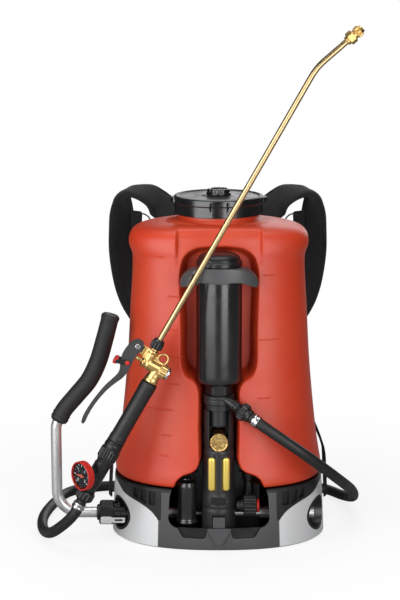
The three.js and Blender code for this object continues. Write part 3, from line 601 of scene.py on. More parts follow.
RED = red_hdpe()
RED_PART = moulded("red_part", (0.5, 0.018, 0.012), 0.38)
BLACK = moulded("black_plastic", (0.0085, 0.0088, 0.0095), 0.34)
GLOSSY = moulded("glossy_black", (0.0075, 0.0078, 0.0085), 0.21, depth=0.000004, ior=1.68)
GREY = moulded("grey_plastic", (0.07, 0.071, 0.074), 0.4, grain=0.0006, depth=0.000018)
TRIGGER_GREY = moulded("trigger_grey", (0.034, 0.0345, 0.036), 0.42)
DARK_GREY = moulded("dark_grey_plastic", (0.017, 0.0175, 0.019), 0.4, grain=0.0006, depth=0.000016)
RUBBER = moulded("black_rubber", (0.009, 0.009, 0.0095), 0.5, grain=0.0008, depth=0.00002)
WHITE = moulded("white_plastic", (0.75, 0.75, 0.72), 0.45, mottle=0.05)
SILVER = metal("silver_panel", (0.82, 0.83, 0.84), 0.36, (1, 1, 0.25), metallic=0.5)
STEEL = metal("steel", (0.78, 0.78, 0.79), 0.33, (1, 1, 0.08), tarnish=(0.6, 0.6, 0.61), metallic=0.8)
CHROME = metal("chrome", (0.6, 0.6, 0.61), 0.2)
BRASS = metal("brass", (0.74, 0.5, 0.2), 0.32, tarnish=(0.64, 0.4, 0.14))
LANCE_BRASS = metal("lance_brass", (0.6, 0.43, 0.23), 0.28, (1, 1, 0.1), tarnish=(0.54, 0.36, 0.17))
GOLD = metal("gold_insert", (0.95, 0.72, 0.16), 0.32, (1, 1, 0.1), metallic=0.7)
COIN = coined_brass()
BRIGHT = metal("bright_zinc", (0.8, 0.8, 0.81), 0.3, (1, 1, 0.2), metallic=0.6)
WEBBING = woven("webbing", (0.01, 0.0105, 0.0115))
STRAP_CLOTH = woven("strap_cloth", (0.009, 0.0095, 0.0105), 0.0016, relief=0.00035)
PAD_CLOTH = padded_cloth("pad_cloth", (0.011, 0.0115, 0.013))
THREAD = moulded("thread", (0.03, 0.031, 0.034), 0.7)
FOAM = foam("foam_grip", (0.0095, 0.0098, 0.0105))
LENS = lens_plastic()
NEEDLE = moulded("needle", (0.85, 0.16, 0.1), 0.45)


# ---------------------------------------------------------------- tank

PLAN_POWER = 2.35
TANK_WALL = 3.0
RECESS_Y = -50.0
NECK_RADIUS, NECK_BORE = 56.0, 52.0

# Height, half width, reach to the front, reach to the back, middle and roundness of each level.
TANK_LEVELS = [
    (86.4, 138, 101, 88, 0, 2.35), (87, 143, 106, 93, 0, 2.35), (90, 145.5, 109, 95.4, 0, 2.35),
    (98, 146, 109, 96, 0, 2.35), (117, 143, 106, 96.5, 0, 2.35), (135, 140, 103, 97, 0, 2.4),
    (176, 135, 97, 97, 0, 2.45), (249, 128, 89, 97, 0, 2.5), (316, 124, 84, 97, 0, 2.5),
    (384, 120, 79, 96, 0, 2.5), (400, 120.6, 78, 96, 0, 2.5), (411, 124.5, 77.6, 95, 0, 2.5),
    (420, 125, 76, 94, 0, 2.5), (428, 122.5, 74, 91.5, 0, 2.45), (434, 117, 71, 87, 0, 2.4),
    (438.5, 106, 66, 80, 1, 2.35), (441.5, 90, 59, 73.5, 3, 2.25), (443.2, 74, 52.4, 69.5, 7, 2.1),
    (444.6, 62, 48.4, 67.8, 9.5, 2.02), (447, NECK_RADIUS + 1.6, 47.6, 67.6, 10, 2),
    (450, NECK_RADIUS, 46, 66, 10, 2), (469, NECK_RADIUS, 46, 66, 10, 2),
    (NECK_TOP, NECK_RADIUS - 0.8, 45.2, 65.2, 10, 2),
]
NECK_INSIDE = [
    (NECK_TOP, NECK_BORE + 0.6, 42.6, 62.6, 10, 2), (468, NECK_BORE, 42, 62, 10, 2),
    (446, NECK_BORE, 42, 62, 10, 2),
]

# Right half of the front recess, from the arch over the foot up past the pressure chamber.
ARCH_EDGE = [
    (61.5, 80), (59.5, 89), (56, 96), (49, 102.5), (36, 108), (29.5, 114), (26.5, 124), (27, 140),
    (28, 165), (29, 226), (34, 234), (45, 241), (51, 254), (52, 300), (52, 392), (46, 406), (32, 415),
    (12, 418),
]


def tank_section(z):
    """Half width, front, back, middle and roundness of the tank at a height."""
    heights = [level[0] for level in TANK_LEVELS]
    return [np.interp(z, heights, [level[k] for level in TANK_LEVELS]) for k in range(1, 6)]


def superellipse(angle, half, front, back, middle, power, inset=0.0):
    c, s = np.cos(angle), np.sin(angle)
    reach = np.where(s < 0, front + middle, back - middle) - inset
    x = (half - inset) * np.sign(c) * np.abs(c) ** (2 / power)
    y = middle + reach * np.sign(s) * np.abs(s) ** (2 / power)
    return x, y


def tank_front(x, z):
    """Y of the tank's front skin before the recess is pressed in."""
    half, front, _, middle, power = tank_section(z)
    return middle - (front + middle) * (1 - (abs(x) / half) ** power) ** (1 / power)


def recess_outline():
    right = spline([(x, z, 0) for x, z in ARCH_EDGE], 6)
    right = [(p[0], p[1]) for p in right]
    left = [(-x, z) for x, z in reversed(right)]
    return np.array([(61.5, 40.0)] + right + left + [(-61.5, 40.0)])


def depth_inside(points, outline):
    """Signed distance of [x, z] points to an outline; positive inside."""
    start, end = outline, np.roll(outline, -1, axis=0)
    along = end - start
    offset = points[:, None] - start
    share = np.clip((offset * along).sum(2) / np.maximum((along ** 2).sum(1), 1e-9), 0, 1)
    near = np.linalg.norm(offset - share[..., None] * along, axis=2).min(1)
    x, z = points[:, 0, None], points[:, 1, None]
    spans = (start[:, 1] > z) != (end[:, 1] > z)
    crossing = start[:, 0] + (z - start[:, 1]) / np.where(along[:, 1] == 0, 1, along[:, 1]) * along[:, 0]
    inside = ((spans & (x < crossing)).sum(1) % 2) == 1
    return np.where(inside, near, -near)


# The set-back middle panel above the recess: half width, where it starts and ends in height, depth.
FRONT_PANEL = {"half": 58.0, "foot": (385, 424), "head": (434, 444), "deep": 7.0}
RECESS_REACH = 78.0


def press_recess(points, floor, grow):
    """Presses the pump's recess and the set-back middle panel into the front of the skin."""
    x, y, z = points.T
    front = (y < 0) & (np.abs(x) < RECESS_REACH)
    depth = np.full(len(points), -50.0)
    depth[front] = depth_inside(points[front][:, [0, 2]], recess_outline()) + grow
    upright = step(z, *FRONT_PANEL["foot"]) * (1 - step(z, *FRONT_PANEL["head"]))
    y = y + FRONT_PANEL["deep"] * step(FRONT_PANEL["half"] - np.abs(x), -2.5, 4) * upright * front
    soft = step(z, 100, 150)
    share = step(depth, -3 + 1.5 * soft, 5 + 4 * soft)
    y = np.where(front & (y < floor), y + (floor - y) * share, y)
    return np.stack([x, y, z], axis=1)


def tank_angles():
    """Angles round the plan, close together on the front where the recess is pressed in."""
    front, half = -TAU / 4, 0.75
    close = np.linspace(front - half, front + half, 190, endpoint=False)
    wide = np.linspace(front + half, front + TAU - half, 170, endpoint=False)
    return np.concatenate([close, wide])


def tank_rings(levels, spacing, floor, grow, inset=0.0):
    """Evenly spaced rings up through the levels, with the recess pressed in down to the floor."""
    fine = np.array(spline(levels, 12))
    run = lengths(fine[:, :2])
    stations = np.linspace(0, run[-1], int(run[-1] / spacing))
    fine = np.stack([np.interp(stations, run, fine[:, k]) for k in range(6)], axis=1)
    angles = tank_angles()
    rings = []
    for z, *size in fine:
        x, y = superellipse(angles, *size, inset=inset)
        ring = np.stack([x, y, np.full(len(x), z)], axis=1)
        rings.append(press_recess(ring, floor, grow))
    return rings


def tank():
    outside = tank_rings(TANK_LEVELS, 1.7, RECESS_Y, 0)
    neck = tank_rings(NECK_INSIDE, 3, -200, 0)
    inside = tank_rings(TANK_LEVELS[3:17], 8, RECESS_Y + TANK_WALL, TANK_WALL, inset=TANK_WALL)
    skin = rings_object("tank_shell", outside + neck + inside[::-1], RED, crease=180)
    dress(skin, "chassis", "red_plastic", "tank")


def capsule_bar(points, half_height, proud):
    """Little raised line through points on the front skin: a half-round bar with tapering ends."""
    rings = []
    last = len(points) - 1
    for i, (x, y, z) in enumerate(points):
        fade = math.sqrt(max(0.02, 1 - (2 * i / last - 1) ** 8))
        out, up = proud * fade, half_height * fade
        rings.append([(x, y + out * math.cos(a), z + up * math.sin(a)) for a in np.arange(8) * TAU / 8])
    return rings


# Level lines on the tank's front: from x, to x, height.
LEVEL_LINES = [
    (-107, -73, 403), (-70, -52, 350), (-73, -56, 305), (-68, -50, 268), (-69, -53, 230), (-99, -60, 194),
    (-79, -64, 159), (-82, -68, 131), (60, 74, 379), (52, 85, 291), (52, 71, 211),
]
MARK_HALF, MARK_PROUD = 1.0, 1.25


def level_marks():
    """Raised filling lines."""
    bars = []
    for x0, x1, z in LEVEL_LINES:
        xs = np.linspace(x0, x1, 12)
        line = [(x, float(tank_front(x, z)) - 0.1, z) for x in xs]
        bars.append(rings_object("level_mark", capsule_bar(line, MARK_HALF, MARK_PROUD), RED))
    dress(gather("level_marks", bars), "chassis", "red_plastic")


# ---------------------------------------------------------------- base

BASE = {"half": 151.0, "front": 113.0, "back": 98.0, "middle": -5.0, "taper": 0.027, "wall": 5.0}
PANEL_EDGE = [(60, 22), (80, 26), (83, 36), (94, 50), (112, 60), (135, 68), (145, 77), (152, 82)]
PANEL_ANGLES = (-1.04, 1.02)
PANEL_ROWS, PANEL_COLUMNS = 10, 70
BASE_SIDES = 200
SIDES = ((-1, "left"), (1, "right"))
WINDOW = {"half": 70.0, "sill": 31.0, "corner": 14.0}
GREY_HALF = 84.0


def base_point(angle, z, inset=0.0):
    scale = 1 - BASE["taper"] * z / BASE_TOP
    size = (BASE["half"] * scale, BASE["front"] * scale, BASE["back"] * scale, BASE["middle"], PLAN_POWER)
    return superellipse(angle, *size, inset=inset)


def base_ring(z, inset):
    x, y = base_point(np.arange(BASE_SIDES) * TAU / BASE_SIDES, z, inset)
    return np.stack([x, y, np.full(BASE_SIDES, z)], axis=1)


def panel_top(x):
    edge_x, edge_z = zip(*[(p[0], p[1]) for p in spline([(*p, 0) for p in PANEL_EDGE], 5)])
    return float(np.interp(abs(x), edge_x, edge_z))


def panel_sheet(name, side, outset, inset, margin, material=None):
    """Curved plate that follows the base, grown by a margin on every edge."""
    rings = []
    for share in np.linspace(0, 1, PANEL_COLUMNS):
        angle = np.interp(share, (0, 1), PANEL_ANGLES) + (share - 0.5) * margin / 65
        top = panel_top(base_point(angle, 0)[0]) + margin
        heights = np.linspace(2 - margin, top, PANEL_ROWS)
        ring = []
        for z, offset in [(z, -outset) for z in heights] + [(z, inset) for z in heights[::-1]]:
            x, y = base_point(angle, z, offset)
            ring.append((side * x, y, z))
        rings.append(ring)
    return rings_object(name, rings, material)


def hub_bar(name, side, low, high, radius):
    """Round bar on the lever's axis."""
    place = Matrix.Translation((0, HUB_Y, HUB_Z)) @ ALONG_X
    circle = [(radius * math.cos(TAU * i / 64), radius * math.sin(TAU * i / 64)) for i in range(64)]
    return prism(name, circle, *sorted((side * low, side * high)), None, place)


def front_plate(name, outline, front, back, material=None):
    """Plate over an [x, z] outline, between two values of Y."""
    return prism(name, outline, -back, -front, material, FACING_FRONT)


def mirrored(right):
    return list(right) + [(-x, z) for x, z in reversed(right)]


def window_outline():
    half, sill, corner = WINDOW["half"], WINDOW["sill"], WINDOW["corner"]
    turn = [i * TAU / 4 / 8 for i in range(9)]
    right = [(half - corner + corner * math.sin(a), sill + corner - corner * math.cos(a)) for a in turn]
    right = [(0.0, sill)] + right + [(half - 2, 75), (half - 9, BASE_TOP + 12)]
    return right + [(-x, z) for x, z in reversed(right[1:])]


def base_front(x):
    """Y of the base's front skin."""
    reach = BASE["front"] + BASE["middle"]
    return BASE["middle"] - reach * (1 - (abs(x) / BASE["half"]) ** PLAN_POWER) ** (1 / PLAN_POWER)


def front_shell(name, outline, depth, proud=6.0):
    """Plate that follows the base's front skin, from proud of it down to a depth."""
    rings = [[(x, base_front(x) + shift, z) for x, z in outline] for shift in (-proud, depth)]
    return rings_object(name, rings)


def sill_tray(side):
    corners = [(side * 19, 17), (side * 50, 18), (side * 60, 36), (side * 14, 36)]
    return front_shell("tray", soften(corners, 3.5, closed=True), 4.6)


LOUVRES = {"count": 3, "first": -1.0, "pitch": 0.115, "width": 0.085}


def louvre(side, index):
    """Shallow panel in the dark band between the tank and the silver plate."""
    rings = []
    start = LOUVRES["first"] + LOUVRES["pitch"] * index
    top = BASE_TOP - 5
    for angle in np.linspace(start, start + LOUVRES["width"], 6):
        low = max(panel_top(base_point(angle, 0)[0]) + 4, 60)
        ring = []
        for z, offset in ((low, -4), (top, -4), (top, 1.2), (low, 3.4)):
            x, y = base_point(angle, z, offset)
            ring.append((side * x, y, z))
        rings.append(ring)
    return rings_object("louvre", rings)


REAR_GROOVES = (24, 38, 52, 66)


def rear_groove(height):
    """Shallow level groove in the back of the base."""
    rings = []
    for angle in np.linspace(-0.42, 0.42, 25):
        taper = 3.2 * math.sqrt(1 - (angle / 0.43) ** 2)
        bottom = 0.4 * taper
        section = [(-taper, -4), (taper, -4), (taper, 0.8), (bottom, 1.8), (-bottom, 1.8), (-taper, 0.8)]
        around = math.pi / 2 + angle
        rings.append([(*base_point(around, height, offset), height + rise) for rise, offset in section])
    return rings_object("rear_groove", rings)


def base_materials(obj):
    """Posts, sill and lower rim are grey; the inside and the side bands are black, and so are faces set back
    behind the front skin, which paints shade into the sill's trays.
    """
    obj.data.materials.clear()
    obj.data.materials.append(BLACK)
    obj.data.materials.append(GREY)
    for polygon in obj.data.polygons:
        x, y, _ = polygon.center / MM
        outward = polygon.normal.y < -0.35
        # Faces more than 2.5 mm behind the front skin stay black: painted shade in the sill's trays.
        skin = y < base_front(min(abs(x), 140)) + 2.5
        polygon.material_index = int(outward and skin and abs(x) < GREY_HALF)


def base_solid():
    levels = [
        (0, 4), (0.4, 2), (1.6, 0.6), (3.6, 0), (40, 0), (80, 0), (BASE_TOP - 1.5, 0.2), (BASE_TOP, 1.4),
    ]
    return rings_object("base_solid", [base_ring(z, inset) for z, inset in levels])


def base():
    tub = base_solid()
    tub.name = "base_shell"
    inner = rings_object("inner", [base_ring(4, 6), base_ring(6, 5), base_ring(BASE_TOP + 5, 5)])
    tub = cut(tub, inner, front_plate("window", window_outline(), -140, -73))
    for side, _ in SIDES:
        boss = combine(hub_bar("boss", side, 105, 160, 28), [base_solid()], "INTERSECT")
        tub = union(tub, boss)
        tub = cut(tub, hub_bar("hole", side, 100, 180, 24.5))
        tub = cut(tub, panel_sheet("pocket", side, 4, 2.7, 0.35), sill_tray(side))
        tub = cut(tub, *[louvre(side, i) for i in range(LOUVRES["count"])])
    tub = cut(tub, *[rear_groove(height) for height in REAR_GROOVES])
    tongue = front_plate("tongue", rectangle(-8.3, 8, 8.3, 48), -112.4, -100.6)
    wedge = soften([(-17.5, 33), (-4, 9), (4, 9), (17.5, 33)], 3, closed=True)
    tub = union(tub, tongue, front_shell("boss", wedge, 4, 2.6))
    base_materials(tub)
    edge(tub, 0.9, 3)
    dress(tub, "chassis", "black_plastic", "base_frame")
    arch_wall_with_shade()


def arch_wall_with_shade():
    """Dark back wall of the arch, with a slot for the pump's crank: partly a black part of the base, partly
    painted shade in the hollow under the arch.
    """
    right = [(9, 60), (9, 12), (58, 12), (58, 80), (55, 92), (46, 100), (33, 105), (26, 110), (22, 118)]
    # The black wall is partly painted shade behind the arch.
    wall = front_plate("arch_liner_and_shade", mirrored(right), -57.5, -52, BLACK)
    edge(wall, 1.0)
    dress(wall, "chassis", "black_plastic")


def side_panels():
    for side, name in SIDES:
        sheet = panel_sheet("panel_" + name, side, 0.2, 2.3, 0, SILVER)
        cut(sheet, hub_bar("hole", side, 100, 170, 24.6))
        edge(sheet, 0.7, 3)
        dress(sheet, "chassis", "silver_panel", "side_panel_" + name)


def hub_bushes():
    """Bearing rings in the hub openings, each with a spoked floor and a collar round the shaft."""
    profile = [(8.4, 107), (24.2, 107), (24.2, 158), (21.5, 158), (21.1, 128), (20.8, 114), (8.4, 113)]
    sleeve = [(8.4, 113), (10.8, 113), (10.4, 120), (8.4, 120)]
    for side, name in SIDES:
        turned = ALONG_X if side > 0 else Matrix.Rotation(math.pi, 4, "Z") @ ALONG_X
        place = Matrix.Translation((0, HUB_Y, HUB_Z)) @ turned
        ring = lathe("ring", profile, None, place, 120, 0.6, closed=True)
        combine(ring, [base_solid()], "INTERSECT")
        ring.data.materials.append(BLACK)
        edge(ring, 0.5, 3)
        spokes = []
        for i in range(8):
            turn = Matrix.Rotation(TAU * (i + 0.5) / 8, 4, "Z")
            spoke = block("spoke", (10.5, -0.9, 113), (21.2, 0.9, 119), BLACK, place @ turn)
            spokes.append(edge(spoke, 0.3, 2))
        collar = lathe("collar", sleeve, BLACK, place, 64, 0.4, closed=True)
        bush = gather("hub_" + name, [ring, collar] + spokes, BLACK)
        dress(bush, "chassis", "black_plastic", "hub_bush_" + name)


# ---------------------------------------------------------------- lid

LID_BOTTOM, LID_TOP = 453.0, 478.0


def lid():
    """Screw lid: a cup with a grooved top, two side lugs and a pair of notches in front."""
    profile = [
        (57.4, LID_BOTTOM), (61.6, LID_BOTTOM), (61.6, 467.8), (62.4, 468.8), (62.4, 476.4), (61, 477.8),
        (57.5, LID_TOP), (55.4, 476.4), (24, 476.6), (19, 477.7), (0, 477.7),
    ]
    inside = [(0, 474.8), (57.2, 474.8), (57.4, LID_BOTTOM)]
    cup = lathe("lid_cap", profile + inside, GLOSSY, ON_LID, 160, 0.7)
    front = LID[1] - 66
    notches = [block("notch", (x - 1.1, front, 462), (x + 1.1, front + 6, 474)) for x in (-11.5, 11.5)]
    for side, _ in SIDES:
        lug = [(side * x, y) for x, y in ((56, -4), (64, -2), (67.6, 8), (64, 18), (56, 20))]
        cup = union(cup, edge(prism("lug", soften(lug, 2, True), 468.4, 475.6, GLOSSY), 0.8, 2))
    cut(cup, *notches)
    smooth(cup, 38)
    even_normals(cup)
    # Faces turned up at the top take the rougher dark grey: a matte top, and its lighter tone than the skirt
    # is painted light on the upward faces.
    cup.data.materials.append(DARK_GREY)
    top, face = len(cup.data.materials) - 1, (LID_TOP - 3) * MM
    for polygon in cup.data.polygons:
        polygon.material_index = top if polygon.normal.z > 0.5 and polygon.center.z > face else 0
    dress(cup, "lid_cover", "black_plastic", "lid")


def lid_vent():
    knob = [
        (0, 478.3), (17.4, 478.3), (17.4, 480.6), (16.2, 482), (15.8, 485.6), (14.6, 486.6), (12.4, 486.6),
        (11.2, 485.4), (10, 481.6), (5.4, 481), (4.8, 483), (0, 483.4),
    ]
    vent = lathe("vent_knob", knob, GLOSSY, ON_LID, 144, 0.6, ribbed(12, 0.7, 481, 487))
    dress(vent, "lid_cover", "black_plastic", "lid_vent")


# ---------------------------------------------------------------- pump and pressure chamber

def ring_points(across, deep, shift=0.0):
    """Plan points of an ellipse about the pump's axis."""
    turns = [TAU * (i + shift) / 96 for i in range(96)]
    return [(PUMP[0] + across * math.cos(turn), PUMP[1] + deep * math.sin(turn)) for turn in turns]


def stadium(x, half, bottom, top):
    """Upright slot with round ends, as an [x, z] outline."""
    arc = [i * math.pi / 10 for i in range(11)]
    upper = [(x + half * math.cos(a), top - half + half * math.sin(a)) for a in arc]
    lower = [(x - half * math.cos(a), bottom + half - half * math.sin(a)) for a in arc]
    return upper + lower


def pump_housing():
    """Body with two fork arms; windows show the cylinder, a foot slot takes the base's tongue."""
    profile = [
        (17.5, 6), (21.5, 6), (23.2, 14), (23.4, 52), (22.6, 57), (23.2, 60), (23.2, 68), (21.8, 78),
        (21.2, 100), (21.5, 136), (21, 139.3), (17.5, 139.3),
    ]
    body = lathe("housing", profile, DARK_GREY, ON_PUMP, 128, 1.2, closed=True)
    profile = [(14.9, 134), (20.7, 134), (20.5, 194.6), (14.9, 194.6)]
    arms = lathe("arms", profile, DARK_GREY, ON_PUMP, 128, 0.8, closed=True)
    arms = cut(arms, front_plate("gap", rounded(-13.4, 142, 13.4, 210, 5), -140, -20))
    body = union(body, arms)
    tools = [front_plate("slot", stadium(x, 5.4, 81, 131), -125, PUMP[1]) for x in (-9.2, 9.2)]
    tools.append(front_plate("hood", rounded(-12.5, 63, 12.5, 74, 3.2), -120, -101.2))
    tools.append(front_plate("foot", rectangle(-9.2, -5, 9.2, 48.6), -130, -99.9))
    tools.append(front_plate("crank", rectangle(-5.5, 10, 5.5, 58), -76, -30))
    body = cut(body, *tools)
    edge(body, 0.7, 3)
    key = edge(front_plate("key", rounded(-9.8, 65.6, 9.8, 71.4, 2), -103.4, -99.5, BLACK), 0.5, 2)
    body = gather("pump_body", [body, key])
    dress(body, "chassis", "black_plastic", "pump_housing")


def brass_land(x, low, high):
    """Rounded brass strip that fills one window of the housing."""
    radius, stretch = 4.75, 1.14
    rise = 4.7 * (1 - np.cos(np.linspace(0, math.pi / 2, 8)))
    arc = [i * math.pi / 12 for i in range(13)]
    front = PUMP[1] - math.sqrt(20.6 ** 2 - x ** 2) + 1.6
    rings = []
    for z in np.concatenate([low + rise, high - rise[::-1]]):
        end = max(0.0, low + 4.7 - z, z - high + 4.7)
        half = stretch * math.sqrt(max(0.04, radius ** 2 - end ** 2))
        crown = 3.2 * half / radius
        ring = [(x + half * math.cos(a), front - crown * math.sin(a), z) for a in arc]
        ring += [(x - half, PUMP[1] - 12.5, z), (x + half, PUMP[1] - 12.5, z)]
        rings.append(ring)
    return rings_object("land", rings, GOLD)


def pump_cylinder():
    """Brass cylinder; two rounded lands fill the windows of the housing."""
    profile = [(15, 74), (17.1, 74), (17.1, 137), (15, 137)]
    tube = lathe("cylinder", profile, GOLD, ON_PUMP, 96, 0.4, closed=True)
    lands = [brass_land(x, 81.6, 130.4) for x in (-9.6, 9.6)]
    dress(gather("brass_cylinder", [tube] + lands, GOLD), "chassis", "brass", "pump_cylinder")


PLUG_Z = 152.2


def valve_plug():
    place = Matrix.Translation((PUMP[0], 0, PLUG_Z)) @ FACING_FRONT
    profile = [
        (0, 70), (10.4, 70), (10.4, 100.6), (12.4, 101), (12.6, 105), (11.6, 106), (10.9, 105.3),
        (0, 105.3),
    ]
    knurl = ribbed(60, 0.5, 101.2, 104.8)
    coin = lathe("coin_plug", profile, COIN, place, 240, 0.5, knurl)
    dress(coin, "chassis", "brass", "valve_plug")


def mount_disc():
    place = Matrix.Translation((PUMP[0], 0, centre_mm("mount_disc")[2])) @ FACING_FRONT
    profile = [(0, 50.4), (25, 50.4), (25, 57), (23, 59.6), (17, 60), (0, 60)]
    dress(lathe("disc", profile, GLOSSY, place, 96, 1.2), "chassis", "black_plastic", "mount_disc")


OUT_START = np.array((20.3, -102, 204.7))
OUT_WAY = np.array((0.787, -0.375, -0.49)) / np.linalg.norm((0.787, -0.375, -0.49))
OUTLET = frame_at(OUT_START, (0, 0, 1), OUT_WAY)


def pump_head():
    profile = [
        (0, 171), (12.6, 171), (14.2, 173), (14.2, 195), (18.8, 195.2), (18.9, 203), (21, 204.2), (21, 209.5),
        (20.5, 210.1), (20.5, 211), (21, 211.6), (21, 216), (8.8, 216), (8.8, 186), (0, 186),
    ]
    body = lathe("head", profile, DARK_GREY, ON_PUMP, 128, 0.6)
    profile = [
        (0, -14), (6.6, -14), (6.6, -2), (8, -1.6), (8, 1), (6.9, 1.4), (6.9, 3.2), (8, 3.6), (8, 6),
        (6.9, 6.4), (6.6, 8.4), (0, 8.4),
    ]
    port = lathe("port", profile, BLACK, OUTLET, 64, 0.5)
    dress(gather("pump_top", [body, port]), "chassis", "black_plastic", "pump_head")


def outlet_fittings():
    nut = [
        (4.9, 9), (9.4, 9), (10.5, 11), (12.5, 12.6), (12.5, 20), (10.5, 21.4), (9.2, 24), (9, 28),
        (4.9, 28),
    ]
    nut = lathe("union_nut", nut, BLACK, OUTLET, 160, 0.5, ribbed(14, 1.5, 11.5, 21), closed=True)
    dress(nut, "chassis", "black_plastic", "outlet_nut")
    dress(ferrule("hose_clamp_pump", 34, 42, OUTLET), "chassis", "steel", "outlet_ferrule")


def ferrule(name, low, high, place):
    """Rolled steel sleeve with a crimped waist."""
    third = (high - low) / 3
    profile = [
        (8.0, low), (9.3, low), (9.4, low + third - 0.6), (8.9, low + third + 0.3), (8.9, high - third - 0.3),
        (9.4, high - third + 0.6), (9.3, high), (8.0, high),
    ]
    return lathe(name, profile, CHROME, place, 72, 0.4, closed=True)


def chamber():
    """Hexagon nut, air chamber and its domed cap."""
    nut = [(9, 216.4), (17.6, 216.4), (18.5, 217.4), (18.5, 228.6), (16, 231.8), (9, 231.8)]
    nut = lathe("neck_hex", nut, BLACK, ON_PUMP, 96, 0.6, hexagon(216, 230, 16.6), closed=True)
    dress(nut, "chassis", "black_plastic", "chamber_neck")
    low, high = CHAMBER_LOW, CHAMBER_HIGH
    profile = [
        (9, low), (23, low), (28.4, low + 1.4), (30.6, low + 5), (31, low + 10), (31, high), (28, high),
        (28, low + 12), (22, low + 4), (9, low + 4),
    ]
    cup = lathe("air_chamber", profile, GLOSSY, ON_PUMP, 160, 2, closed=True)
    dress(cup, "chassis", "black_plastic", "pressure_chamber")
    cap = [
        (0, high + 0.3), (29.6, high + 0.3), (30, high + 2), (30, 394), (31, 395.4), (31, 400.8), (28.9, 402),
        (28.3, 403.6), (28.5, 404.8), (26.8, 407.8), (22, 410.6), (14, 412.4), (0, 413),
    ]
    dress(lathe("dome", cap, BLACK, ON_PUMP, 160, 1.4), "chassis", "black_plastic", "chamber_cap")


def saddle():
    """Drooping bracket over the chamber, with a snap-in fork for the lance."""
    wing = [
        (0, 374), (20, 375.5), (30, 374.8), (37, 372.4), (44, 369), (49.5, 366.8), (52.6, 367.8), (53.2, 373),
        (50, 381), (42.5, 388.6), (32, 393.4), (18, 395), (0, 395.2),
    ]
    right = [(p[0], p[1]) for p in spline([(*p, 0) for p in wing], 4)]
    body = front_plate("saddle_arch", right + [(-x, z) for x, z in reversed(right[1:-1])], -121.5, -79.5)
    body = cut(body, prism("hole", ring_points(31.2, 31.2), 340, 430))
    combine(body, [prism("keep", ring_points(54.4, 36, 0.37), 350, 420)], "INTERSECT")
    for x in (LANCE_X - 5.8, LANCE_X + 5.8):
        union(body, block("finger", (x - 1.3, 0.6, 146), (x + 1.3, 17, 154), None, GUN))
    union(body, block("bridge", (LANCE_X - 7, 11, 146), (LANCE_X + 7, 17, 154), None, GUN))
    body.data.materials.append(GREY)
    cast(body, 1.1, 5)
    dress(body, "chassis", "grey_plastic", "chamber_saddle")


SUCTION_CUP, SUCTION_ELBOW, HAND_SCREW = (-44, -84, 0), (42, -60, 0), (0, -92, 59)


def suction_side():
    """Cup on the left of the pump's foot and elbow pipe on its right."""
    profile = [
        (0, 33), (15.4, 33), (15.5, 35.6), (13.4, 38.4), (13.1, 46), (13.1, 86), (11.8, 91.4), (10, 92),
        (9.4, 90), (9.4, 52), (0, 50),
    ]
    cup = lathe("glass_cup", profile, GLOSSY, Matrix.Translation(SUCTION_CUP), 96, 1.6)
    dress(cup, "chassis", "black_plastic", "suction_cup")
    path = spline([(42, -60, 98), (42, -61, 82), (40.6, -62, 63), (26.4, -64, 50)], 14)
    bend = pipe("elbow_pipe", path, 6.5, BLACK)
    profile = [(0, 90), (8.6, 90), (9, 91), (9, 97), (8.4, 98), (0, 98)]
    collar = lathe("collar", profile, BLACK, Matrix.Translation(SUCTION_ELBOW), 64, 0.6)
    dress(gather("elbow", [bend, collar]), "chassis", "black_plastic", "suction_elbow")


def foot_knob():
    place = Matrix.Translation(HAND_SCREW) @ ALONG_X
    profile = [
        (0, 24.6), (6.6, 24.6), (7, 26), (7, 30), (8.6, 30.6), (8.6, 33.4), (13, 34.2), (14.6, 35.6),
        (14.6, 50.6), (13.2, 52), (0, 52),
    ]
    knob = lathe("hand_screw", profile, BLACK, place, 180, 0.7, ribbed(15, 1.6, 35, 51.5))
    dress(knob, "foot_screw", "black_plastic", "suction_knob")
    cap = [(0, 52.3), (9.5, 52.3), (9.5, 54.6), (8.4, 55.8), (5.4, 56), (4.6, 55.3), (0, 55.2)]
    dress(lathe("screw_cap", cap, RED_PART, place, 72, 0.6), "foot_screw", "red_plastic", "knob_cap")


# ---------------------------------------------------------------- hand lever

LEVER_X, LEVER_BEND, LEVER_TOP = -227.0, 32.0, 150.0
LEVER_RADIUS = 7.5
GRIP_POINTS = [(-226, 163), (-216, 183), (-198, 205), (-180, 227), (-167, 254), (-158, 284), (-148.5, 320)]


def lever_path():
    """From the socket out along -X and up beside the base."""
    low = HUB_Z + LEVER_BEND
    turn = [i * TAU / 4 / 12 for i in range(12)]
    bend = [(LEVER_X + LEVER_BEND * (1 - math.sin(a)), low - LEVER_BEND * math.cos(a)) for a in turn]
    upright = [(LEVER_X, z) for z in (low, 100, 125, LEVER_TOP)]
    line = [(x, HUB_Z) for x in (-151, -165, -180)] + bend + upright
    return [(x, HUB_Y, z) for x, z in line]


def grip_points():
    return [(x, HUB_Y, z) for x, z in GRIP_POINTS]


def lever():
    """Bent steel bar under a foam sleeve."""
    *lower, last = lever_path()
    path = lower + spline([last, *grip_points()], 14)
    dress(pipe("lever_bar", path, LEVER_RADIUS, STEEL, sides=40), "lever", "steel", "lever_tube")
    sleeve = spline(grip_points(), 14)[4:]
    size = grip_radius(lengths(sleeve)[-1])
    dress(pipe("foam_sleeve", sleeve, size, FOAM, sides=48), "lever", "black_rubber", "lever_grip")


def grip_radius(total):
    """Sleeve with two rings at its lower end, a slight swell and a thicker top rim."""
    def size(run):
        rings = 0.9 * max(0.0, math.cos(run * TAU / 5.2)) if run < 14 else 0.0
        swell = 0.5 * math.sin(math.pi * run / total)
        rim = 0.8 * float(step(run, total - 9, total - 5))
        left = min(run, total - run)
        corner = 2.2
        closing = corner - math.sqrt(max(0.0, corner ** 2 - max(0.0, corner - left) ** 2))
        return 12.0 + rings + swell + rim - closing
    return size


